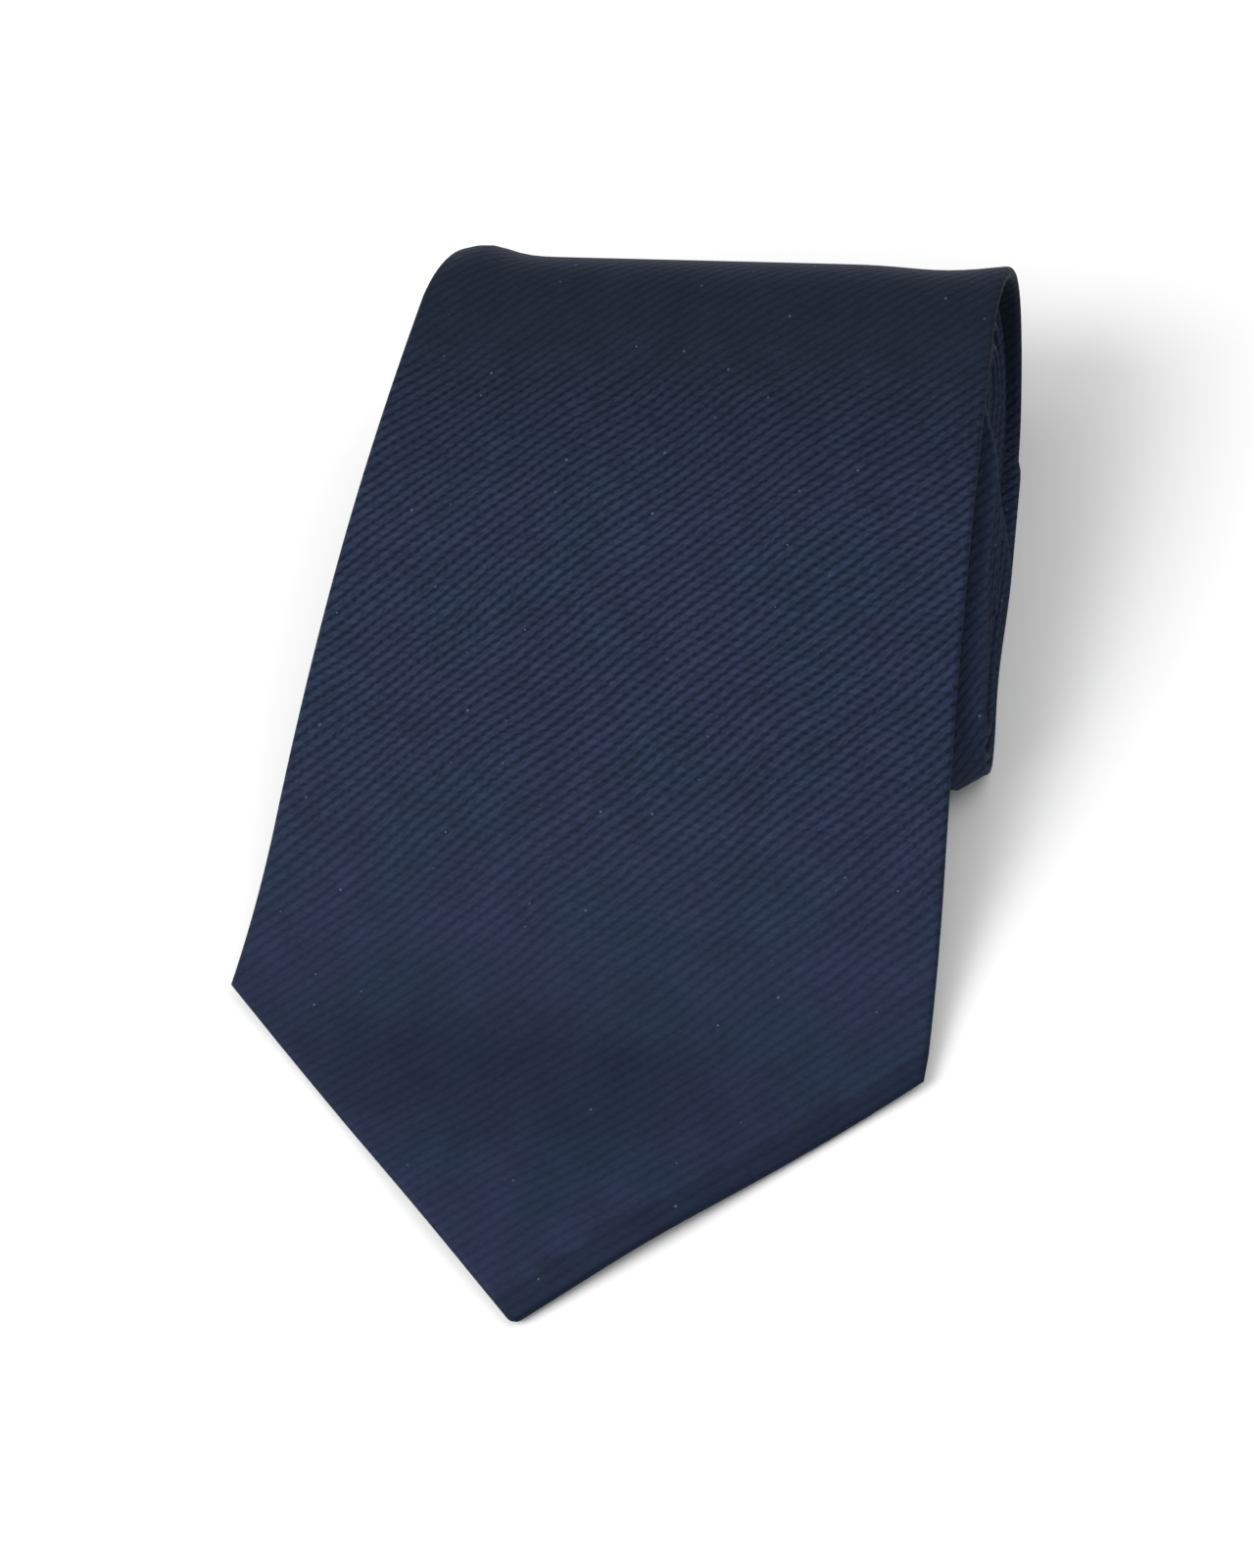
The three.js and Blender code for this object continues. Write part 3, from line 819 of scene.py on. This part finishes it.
@dataclass(frozen=True)
class WovenLabelCloth:
    """Blank label cloth: fine crossed threads in two tones."""

    name: str = "woven_damask_label"
    ground: str = "#252c3e"
    raised: str = "#39435c"
    thread: float = 0.45

    def build(self) -> bpy.types.Material:
        """Makes the material from a plain weave drawn a little coarser than life."""
        g = Graph(self.name)
        across, along, _ = g.parts(g.layout())
        waves = [g.math("SINE", g.times(way, 2 * math.pi / self.thread)) for way in (across, along)]
        height = g.ramp(g.times(*waves), -1.0, 1.0, ease=False)
        colour = g.blend(height, linear(self.ground), linear(self.raised))
        looks = {"Base Color": colour, "Roughness": 0.6, "Sheen Weight": 0.2}
        return g.finish({**looks, "Normal": g.bump(height, 0.05, 0.6)})


@dataclass(frozen=True)
class StudioPaper:
    """Matt white background paper."""

    name: str = "matt_white_paper"
    colour: str = "#f6f6f6"

    def build(self) -> bpy.types.Material:
        """Makes the material, with a trace of tooth."""
        g = Graph(self.name)
        place = g.add("TexCoord").outputs["Object"]
        tooth = g.add("TexNoise", {"Vector": place, "Scale": 900.0, "Detail": 2.0}).outputs[0]
        looks = {"Base Color": linear(self.colour), "Roughness": 0.9, "Normal": g.bump(tooth, 0.1, 0.05)}
        return g.finish(looks)


class Finish(Enum):
    """The finishes of the tie, each named by its slot in the record."""

    FACE = "face_cloth"
    LINING = "tipping_satin"
    PAD = "interlining"
    THREAD = "thread"
    LABEL = "name_label"
    CARE = "care_label"


class Wardrobe:
    """Makes each finish once and dresses pieces in it."""

    def __init__(self) -> None:
        """Builds the tie's materials."""
        self.made = {
            Finish.FACE: RibbedTieCloth().build(),
            Finish.LINING: SatinLining().build(),
            Finish.PAD: BrushedFelt().build(),
            Finish.THREAD: SewingThread().build(),
            Finish.LABEL: WovenLabelCloth().build(),
            Finish.CARE: WovenLabelCloth("woven_care_ribbon", "#cfccc2", "#efede6", 0.4).build(),
        }

    def dress(self, obj: bpy.types.Object, finish: Finish) -> None:
        """Gives a piece its material."""
        obj.data.materials.clear()
        obj.data.materials.append(self.made[finish])


# ---------------------------------------------------------------- how pieces follow the bodies


class Follow(Enum):
    """Which bodies a piece moves with."""

    ROLL = "roll"
    FLAP = "flap"
    CREST_BEND = "crest"
    LANDING_BEND = "landing"


@dataclass
class Bends:
    """Where the cloth bends when the flap lifts and when its point curls, in cloth millimetres."""

    shape: TieShape
    crest_from: float = 134.0
    crest_to: float = 109.0
    landing_from: float = 60.0
    landing_to: float = 33.0

    def spot(self, s: float) -> Vector:
        """The middle of the face at s."""
        return self.shape.place(s, 0.0, 0.0)

    def attach(self, obj: bpy.types.Object, follow: Follow) -> None:
        """Rides a finished piece on its body, or bakes its place into its mesh."""
        if follow in (Follow.ROLL, Follow.FLAP):
            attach(obj, follow.value)
            return
        if follow is Follow.CREST_BEND:
            start, end = self.spot(self.crest_from), self.spot(self.crest_to)
            end.z = start.z
            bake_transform(obj)
            return
        self.spot(self.landing_from)
        self.spot(self.landing_to)
        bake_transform(obj)


# ---------------------------------------------------------------- sheets and stitches


Layout = Callable[[float, float], Triple]


@dataclass
class Workshop:
    """Turns flat sheets and rows of stitches into finished pieces."""

    shape: TieShape
    wardrobe: Wardrobe
    bends: Bends
    closing_run: float = 1.6
    closing_least: float = 0.1

    def sheet(
        self,
        name: str,
        columns: Sequence[float],
        rows: Sequence[float],
        layout: Layout,
        thick: float,
        finish: Finish,
        offset: float = -1.0,
    ) -> bpy.types.Object:
        """A sheet laid out on a grid and carried along the strip.

        Args:
            name: the piece's name.
            columns: the sheet's own coordinates across.
            rows: distances along the strip.
            layout: gives x, depth and cloth position across, for a column and a row.
            thick: thickness of the sheet in millimetres.
            finish: what it is made of.
            offset: -1 thickens inwards from the surface, 0 both ways.

        Returns:
            The finished object.
        """
        across, along = len(columns) - 1, len(rows) - 1
        bm = bmesh.new()
        bmesh.ops.create_grid(bm, x_segments=across, y_segments=along, size=1.0)
        laid = {}
        fold_edge = bm.verts.layers.float.new("fold_edge")
        closing = bm.verts.layers.deform.verify()
        for vert in bm.verts:
            i = round((vert.co.x + 1) / 2 * across)
            j = round((vert.co.y + 1) / 2 * along)
            x, depth, u = layout(columns[i], rows[j])
            laid[vert.index] = (u, rows[j])
            # fold_edge is highest on the nose of each side fold, where the cloth gets painted shade
            turned = clamp(depth / self.shape.thickness(rows[j]), 0.0, 1.0)
            vert[fold_edge] = 4 * turned * (1 - turned)
            to_end = min(rows[j] - self.shape.tip_s, self.shape.length - rows[j])
            vert[closing][0] = clamp(to_end / self.closing_run, self.closing_least, 1.0)
            vert.co = self.shape.place(rows[j], x, depth)
        uv = bm.loops.layers.uv.new("cloth_mm")
        for face in bm.faces:
            face.smooth = True
            for loop in face.loops:
                loop[uv].uv = laid[loop.vert.index]
        for edge in bm.edges:
            edge.smooth = not edge.is_boundary
        obj = self.to_object(bm, name, finish)
        solid = obj.modifiers.new("cloth thickness", "SOLIDIFY")
        solid.vertex_group = obj.vertex_groups.new(name="closing").name
        solid.thickness = thick * MM
        solid.offset = offset
        solid.use_rim = True
        return obj

    def to_object(self, bm: bmesh.types.BMesh, name: str, finish: Finish) -> bpy.types.Object:
        """Closes a bmesh into a dressed object at the origin."""
        obj = put(name, to_mesh(bm, name))
        self.wardrobe.dress(obj, finish)
        return obj

    def stitches(
        self,
        name: str,
        spots: Iterable[Tuple[float, float, float, float]],
        length: float,
        radius: float,
        follow: Follow,
        nodes: Nodes,
    ) -> bpy.types.Object:
        """A row of separate thread floats lying on the strip.

        Args:
            name: the piece's name.
            spots: for each float s, x, depth and its turn from the strip's length, in radians.
            length: length of a float.
            radius: radius of the thread.
            follow: what it moves with.
            nodes: the solids it stands for.

        Returns:
            The finished object.
        """
        bm = bmesh.new()
        for s, x, depth, turn in spots:
            ring = bmesh.ops.create_uvsphere(bm, u_segments=8, v_segments=5, radius=1.0)["verts"]
            normal = self.shape.normal(s)
            travel = Vector((0.0, normal.z, -normal.y))
            side = Vector((1.0, 0.0, 0.0))
            run = travel * math.cos(turn) + side * math.sin(turn)
            cross = normal.cross(run)
            axes = Matrix((cross * radius, normal * radius, run * length / 2)).transposed() * MM
            centre = Matrix.Translation(self.shape.place(s, x, depth))
            bmesh.ops.transform(bm, matrix=centre @ axes.to_4x4(), verts=ring)
        for face in bm.faces:
            face.smooth = True
        obj = self.to_object(bm, name, Finish.THREAD)
        return self.deliver(obj, follow, nodes)

    def declare(self, obj: bpy.types.Object, rows: Sequence[float], cut: Sequence[float], held: str) -> None:
        """Takes a sheet and the size of its flat cut, and does nothing with them.

        Args:
            obj: the sheet; not used.
            rows: distances along the strip; not used.
            cut: width of the flat cut at each row; not used.
            held: how the sheet is held; not used.
        """

    def deliver(self, obj: bpy.types.Object, follow: Follow, nodes: Nodes) -> bpy.types.Object:
        """Attaches a piece to its bodies, hides the solids it stands for and reports it."""
        self.bends.attach(obj, follow)
        if nodes:
            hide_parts(*nodes)
        LOG.info("%s: %d faces, moves with %s", obj.name, len(obj.data.polygons), follow.value)
        return obj


# ---------------------------------------------------------------- the tie's own pieces


@dataclass
class FoldedCloth:
    """The face cloth, cut about twice as wide as the tie and folded round it to meet at the back."""

    shop: Workshop
    back_parts: int = 8
    edge_parts: int = 8
    face_parts: int = 40
    step: float = 1.2
    nose_run: float = 1.3
    nose_least: float = 0.12
    point_slant: float = 1.5

    def columns(self) -> List[float]:
        """Coordinates across: back fold 0-1, edge 1-2, face 2-3, edge 3-4, back fold 4-5."""
        parts = (self.back_parts, self.edge_parts, self.face_parts, self.edge_parts, self.back_parts)
        marks = [0.0]
        for part, count in enumerate(parts):
            marks += [part + (i + 1) / count for i in range(count)]
        return marks

    def fold(self, k: float, s: float) -> Triple:
        """Where a point of the flat cloth lands.

        Args:
            k: coordinate across, as columns() gives.
            s: distance along the strip.

        Returns:
            x, depth and the cloth's own position across, in millimetres.
        """
        shape = self.shop.shape
        left, right = shape.edges(s)
        axis = shape.axis(s)
        full = shape.thickness(s)
        from_end = min(s - shape.tip_s, shape.length - s)
        nose = math.sqrt(1 - (1 - clamp(from_end / self.nose_run, 0.0, 1.0)) ** 2)
        half = full / 2 * max(nose, self.nose_least)
        slant = self.point_slant if s < shape.corner_left else 1.0
        round_x = min(half * slant, (right - left) / 4)
        open_left, open_right = shape.back_opening(s)
        part, u = min(int(k), 4), k - min(int(k), 4)
        u_left, u_right = left + round_x - axis, right - round_x - axis
        arc = math.pi * half
        back_left, back_right = open_left - left - round_x, right - round_x - open_right
        if part == 0:
            return open_left - back_left * u, full / 2 + half, u_left - arc - back_left * (1 - u)
        if part == 1:
            angle = math.pi * u
            x = left + round_x - round_x * math.sin(angle)
            return x, full / 2 + half * math.cos(angle), u_left - arc * (1 - u)
        if part == 2:
            x = mix(left + round_x, right - round_x, u)
            return x, full / 2 - half, x - axis
        if part == 3:
            angle = math.pi * u
            x = right - round_x + round_x * math.sin(angle)
            return x, full / 2 - half * math.cos(angle), u_right + arc * u
        return right - round_x - back_right * u, full / 2 + half, u_right + arc + back_right * u

    def panel(self, name: str, start: float, end: float, follow: Follow, nodes: Nodes) -> bpy.types.Object:
        """One length of the folded cloth."""
        shape = self.shop.shape
        rows = shape.stops(start, end, self.step)
        marks = [shape.corner_right, shape.corner_left]
        marks += [shape.tip_s + m for m in (0.01, 0.04, 0.09, 0.16, 0.3, 0.6)]
        marks += [shape.length - m for m in (0.15, 0.4, 0.75)]
        first = shape.tip_s if start == 0.0 else start
        rows = sorted(rows + [m for m in marks if first < m < end])
        cloth = shape.cloth((start + end) / 2)
        obj = self.shop.sheet(name, self.columns(), rows, self.fold, cloth, Finish.FACE)
        cut = [self.fold(5.0, s)[2] - self.fold(0.0, s)[2] for s in rows]
        self.shop.declare(obj, rows, cut, "folded")
        return self.shop.deliver(obj, follow, nodes)


@dataclass
class Padding:
    """Interlining and linings: flat sheets inside the folded cloth."""

    shop: Workshop
    wall: float = 0.95
    ply_gap: float = 0.03
    lining: float = 0.14
    lined_to: float = 110.0
    lined_from_end: float = 60.0
    columns_across: int = 24

    def depth_of(self, s: float, lined: bool) -> float:
        """Middle of the interlining at s."""
        shape = self.shop.shape
        top = shape.cloth(s) + self.ply_gap
        bottom = shape.thickness(s) - shape.cloth(s) - self.ply_gap
        if lined:
            bottom -= self.lining + self.ply_gap
        return (top + bottom) / 2

    def inside(self, k: float, s: float, depth: float) -> Triple:
        """A point k of the way across the inside of the fold."""
        left, right = self.shop.shape.edges(s)
        x = mix(left + self.wall, right - self.wall, k)
        return x, depth, x - (left + right) / 2

    def grid(self) -> List[float]:
        """Even coordinates across."""
        return [i / self.columns_across for i in range(self.columns_across + 1)]

    def interlining(self, name: str, rows: Sequence[float], thick: float, follow: Follow,
                    nodes: Nodes) -> None:
        """A length of the wool pad."""
        shape = self.shop.shape

        def layout(k: float, s: float) -> Triple:
            """Lays the pad in the middle of its space."""
            lined = s < self.lined_to or shape.length - s < self.lined_from_end
            return self.inside(k, s, self.depth_of(s, lined))

        obj = self.shop.sheet(name, self.grid(), rows, layout, thick, Finish.PAD, 0.0)
        self.shop.deliver(obj, follow, nodes)

    def tipping(self, name: str, start: float, end: float, follow: Follow, nodes: Nodes) -> None:
        """A satin lining behind a point."""
        shape = self.shop.shape

        def layout(k: float, s: float) -> Triple:
            """Lays the lining against the back folds."""
            depth = shape.thickness(s) - shape.cloth(s) - self.ply_gap - self.lining / 2
            return self.inside(k, s, depth)

        rows = shape.stops(start, end, 1.5)
        obj = self.shop.sheet(name, self.grid(), rows, layout, self.lining, Finish.LINING, 0.0)
        cut = [self.inside(1.0, s, 0.0)[0] - self.inside(0.0, s, 0.0)[0] for s in rows]
        self.shop.declare(obj, rows, cut, "stretched")
        self.shop.deliver(obj, follow, nodes)


@dataclass
class BackSewing:
    """The slip stitch that closes the back, and its bar tack."""

    shop: Workshop
    pitch: float = 4.2
    slant: float = 0.9
    sink: float = 0.13
    float_length: float = 2.4
    fine_thread: float = 0.11
    thread: float = 0.16

    def centre(self, s: float) -> float:
        """Middle of the back seam at s."""
        left, right = self.shop.shape.back_opening(s)
        return (left + right) / 2

    def slip_stitch(self, name: str, start: float, end: float, follow: Follow, nodes: Nodes) -> None:
        """Slanted hand stitches that cross the gap between the back folds."""
        shape = self.shop.shape
        spots = []
        for i, s in enumerate(shape.stops(start, end, self.pitch)):
            turn = self.slant if i % 2 else -self.slant
            spots.append((s, self.centre(s), shape.thickness(s) - self.sink, turn))
        self.shop.stitches(name, spots, self.float_length, self.fine_thread, follow, nodes)

    def bar_tack(self, name: str, s: float, span: float, nodes: Nodes) -> None:
        """A dense block of thread: long floats across the seam, wrapped by short ones."""
        shape = self.shop.shape
        depth = shape.thickness(s) + 0.16
        spots = [(s + dy, self.centre(s) + dx, depth, math.pi / 2)
                 for dy in (-0.5, -0.25, 0.0, 0.25, 0.5) for dx in (-span / 4, span / 4)]
        bar = self.shop.stitches(name, spots, span / 2 + 0.6, self.thread, Follow.FLAP, nodes)
        wraps = [(s, self.centre(s) + x, depth + 0.08, 0.08) for x in
                 [mix(-span / 2, span / 2, i / 24) for i in range(25)]]
        self.shop.stitches(name + "_wraps", wraps, 1.5, self.thread, Follow.FLAP, [])
        LOG.info("%s spans %.1f mm", bar.name, span)


@dataclass
class BackTrim:
    """The blank name label, the keeper loop and the blank care label on the back of the blade."""

    shop: Workshop
    sewing: BackSewing
    label_s: float = 98.0
    label_length: float = 11.0
    label_width: float = 42.0
    label_thick: float = 0.2
    keeper_s: float = 115.0
    keeper_band: float = 11.0
    keeper_span: float = 36.0
    keeper_rise: float = 0.75
    keeper_thick: float = 0.42
    care_s: float = 60.0
    care_length: float = 15.0
    care_width: float = 18.0

    def stops(self, count: int) -> List[float]:
        """Even coordinates from -1 to 1."""
        return [mix(-1.0, 1.0, i / count) for i in range(count + 1)]

    def flat_label(self, name: str, s: float, length: float, width: float, depth: float, finish: Finish,
                   nodes: Nodes) -> None:
        """A label lying on the back, with a slight lift along its free edges."""
        shape = self.shop.shape

        def layout(k: float, at: float) -> Triple:
            """Lays the label; its long edges lift a hair."""
            middle = self.sewing.centre(at)
            lift = 0.12 * abs(2 * (at - s) / length - 1) ** 4 * (1 - k ** 8)
            return middle + k * width / 2, shape.thickness(at) + depth + lift, k * width / 2

        rows = shape.stops(s, s + length, 0.5)
        obj = self.shop.sheet(name, self.stops(48), rows, layout, self.label_thick, finish, 0.0)
        self.shop.deliver(obj, Follow.FLAP, nodes)

    def side_stitches(self, side: str, sign: int) -> None:
        """Small stitches down one end of the name label."""
        shape = self.shop.shape
        rows = shape.stops(self.label_s + 1.2, self.label_s + self.label_length - 1.2, 1.5)
        spots = [(s, self.sewing.centre(s) + sign * (self.label_width / 2 - 1.1),
                  shape.thickness(s) + self.label_thick + 0.1, 0.35) for s in rows]
        name = f"name_label_sewing_{side}"
        self.shop.stitches(name, spots, 1.1, 0.12, Follow.FLAP, [f"name_label_stitch_{side}"])

    def keeper(self) -> None:
        """The self-cloth loop: two feet on the back folds and a low arch between them."""
        shape = self.shop.shape
        foot, slope = 5.0, 3.0

        def layout(k: float, s: float) -> Triple:
            """Arches the band and rounds its long edges."""
            x = k * self.keeper_span / 2
            from_end = self.keeper_span / 2 - abs(x)
            rise = self.keeper_rise * smooth((from_end - foot) / slope)
            edge = 2 * (s - self.keeper_s) / self.keeper_band - 1
            tuck = -0.12 * abs(edge) ** 10
            depth = shape.thickness(s) + 0.03 + self.keeper_thick / 2 + rise + tuck
            return self.sewing.centre(s) + x, depth, x

        rows = shape.stops(self.keeper_s, self.keeper_s + self.keeper_band, 0.35)
        columns = self.stops(72)
        obj = self.shop.sheet("keeper_band", columns, rows, layout, self.keeper_thick, Finish.FACE, 0.0)
        bevel = obj.modifiers.new("soft edges", "BEVEL")
        bevel.width = 0.15 * MM
        bevel.segments = 2
        bevel.limit_method = "ANGLE"
        self.shop.deliver(obj, Follow.CREST_BEND, ["keeper_loop"])

    def keeper_tack(self, side: str, sign: int) -> None:
        """A short row of satin stitches through one foot of the keeper."""
        shape = self.shop.shape
        rows = shape.stops(self.keeper_s + 1.4, self.keeper_s + self.keeper_band - 1.4, 0.32)
        depth = self.keeper_thick + 0.1
        spots = [(s, self.sewing.centre(s) + sign * (self.keeper_span / 2 - 2), shape.thickness(s) + depth,
                  math.pi / 2) for s in rows]
        name = f"keeper_sewing_{side}"
        self.shop.stitches(name, spots, 1.5, 0.15, Follow.CREST_BEND, [f"keeper_tack_{side}"])

    def care_stitch(self) -> None:
        """A line of machine stitches along the care label's upper edge."""
        shape = self.shop.shape
        s = self.care_s + self.care_length - 1.8
        spots = [(s, self.sewing.centre(s) + x, shape.thickness(s) - 0.1, math.pi / 2)
                 for x in [mix(-8.0, 8.0, i / 9) for i in range(10)]]
        self.shop.stitches("care_label_sewing", spots, 1.4, 0.11, Follow.FLAP, ["care_label_stitch"])

    def build(self) -> None:
        """Makes the labels, the keeper and their stitches."""
        self.flat_label("blank_name_label", self.label_s, self.label_length, self.label_width, 0.12,
                        Finish.LABEL, ["name_label"])
        self.flat_label("blank_care_label", self.care_s, self.care_length, self.care_width, -0.22,
                        Finish.CARE, ["care_label"])
        self.keeper()
        for side, sign in (("left", -1), ("right", 1)):
            self.side_stitches(side, sign)
            self.keeper_tack(side, sign)
        self.care_stitch()


# ---------------------------------------------------------------- studio


@dataclass
class Studio:
    """Pale paper, soft light and the camera."""

    azimuth: float = 27.93
    elevation: float = 50.78
    roll: float = -17.98
    distance: float = 0.3949
    aim: Triple = (-0.0022, 0.0011, 0.0)
    lens: float = 73.3
    sky_strength: float = 0.64

    def camera(self) -> None:
        """Places the camera and turns it about its own line of sight."""
        az, el, roll = (math.radians(a) for a in (self.azimuth, self.elevation, self.roll))
        back = Vector((math.sin(az) * math.cos(el), -math.cos(az) * math.cos(el), math.sin(el)))
        side = Vector((0, 0, 1)).cross(back).normalized()
        up = back.cross(side)
        right = side * math.cos(roll) + up * math.sin(roll)
        top = up * math.cos(roll) - side * math.sin(roll)
        turn = Matrix((right, top, back)).transposed().to_4x4()
        data = bpy.data.cameras.new("camera")
        data.lens = self.lens
        data.sensor_width = 36.0
        data.clip_start = 0.01
        camera = put("camera", data)
        camera.matrix_world = Matrix.Translation(Vector(self.aim) + back * self.distance) @ turn
        bpy.context.scene.camera = camera

    def lamp(self, name: str, place: Point, height: float, size: float, power: float) -> None:
        """A square soft light aimed at the tie."""
        data = bpy.data.lights.new(name, "AREA")
        data.size = size
        data.energy = power
        spot = Vector((*place, height))
        aimed = spot.to_track_quat("Z", "Y").to_matrix().to_4x4()
        put(name, data).matrix_world = Matrix.Translation(spot) @ aimed

    def floor(self) -> None:
        """A wide sheet of paper under the tie."""
        bm = bmesh.new()
        bmesh.ops.create_grid(bm, x_segments=8, y_segments=8, size=3.0)
        mesh = to_mesh(bm, "paper_floor")
        mesh.transform(Matrix.Translation((0, 0, -0.0002)))
        mesh.materials.append(StudioPaper().build())
        put("paper_floor", mesh)

    def build(self) -> None:
        """Sets the whole studio."""
        scene = bpy.context.scene
        scene.view_settings.view_transform = "Standard"
        world = bpy.data.worlds.new("soft_room")
        world.use_nodes = True
        sky = world.node_tree.nodes["Background"].inputs
        sky["Color"].default_value = (1.0, 1.0, 1.0, 1.0)
        sky["Strength"].default_value = self.sky_strength
        scene.world = world
        self.camera()
        self.floor()
        self.lamp("window", (-0.6, -0.5), 0.8, 0.8, 9.5)
        self.lamp("reflector", (0.9, 0.3), 1.2, 1.2, 5.0)


def build_tie(shop: Workshop) -> None:
    """Makes every piece of the tie, from the blade's point to the tail's."""
    shape = shop.shape
    flap_end = 80.0
    fold_end = shape.crest_s + shape.fold_radius * (math.pi + math.radians(shape.crest_deg))
    neck_seam, tail_seam = 0.55 * shape.length, 0.76 * shape.length
    blade = FoldedCloth(shop)
    blade.panel("blade_cloth_point", 0.0, flap_end, Follow.LANDING_BEND, ["blade_panel_tip"])
    blade.panel("blade_cloth_fold", flap_end, fold_end, Follow.CREST_BEND, ["blade_panel_flap"])
    wraps = FoldedCloth(shop, back_parts=6, edge_parts=6, face_parts=20, step=1.6)
    wraps.panel("blade_cloth_wraps", fold_end, neck_seam, Follow.ROLL, ["blade_panel_roll"])
    wraps.panel("neck_cloth", neck_seam, tail_seam, Follow.ROLL, ["neck_panel"])
    wraps.panel("tail_cloth", tail_seam, shape.length, Follow.ROLL, ["tail_panel"])
    pad = Padding(shop)
    rows = shape.stops(8.0, flap_end, 2.0)
    pad.interlining("interlining_point", rows, 0.56, Follow.LANDING_BEND, ["interlining_tip"])
    rows = shape.stops(flap_end, fold_end, 2.0)
    pad.interlining("interlining_fold", rows, 0.56, Follow.CREST_BEND, ["interlining_flap"])
    # inside the roll the pad bends at the same rows as its cloth and is cut as finely across
    rows = shape.stops(fold_end, neck_seam, wraps.step) + shape.stops(neck_seam, tail_seam, wraps.step)[1:]
    rows += [s for s in shape.stops(tail_seam, shape.length, wraps.step)[1:] if s < shape.length - 3]
    inner_pad = Padding(shop, columns_across=20)
    inner_pad.interlining("interlining_wraps", rows, 0.3, Follow.ROLL, ["interlining_roll"])
    both = ["blade_tipping_tip", "blade_tipping_flap"]
    pad.tipping("blade_lining", 4.0, 104.0, Follow.LANDING_BEND, both)
    pad.tipping("tail_lining", shape.length - 56, shape.length - 4, Follow.ROLL, ["tail_tipping"])
    sewing = BackSewing(shop)
    sewing.slip_stitch("slip_stitch_fold", 95.5, fold_end, Follow.CREST_BEND, ["slip_stitch_flap"])
    inner_end = shape.length - 50
    sewing.slip_stitch("slip_stitch_wraps", fold_end + 4, inner_end, Follow.ROLL, ["slip_stitch_roll"])
    sewing.bar_tack("apex_bar_tack", 93.8, 9.0, ["blade_bar_tack"])
    BackTrim(shop, sewing).build()


def main() -> None:
    """Builds the studio and the tie in order."""
    logging.basicConfig(level=logging.INFO, format="%(name)s: %(message)s")
    Studio().build()
    shape = TieShape()
    LOG.info("strip %.0f mm long, fold radius %.2f mm", shape.length, shape.fold_radius)
    build_tie(Workshop(shape, Wardrobe(), Bends(shape)))


if __name__ == "__main__":
    main()
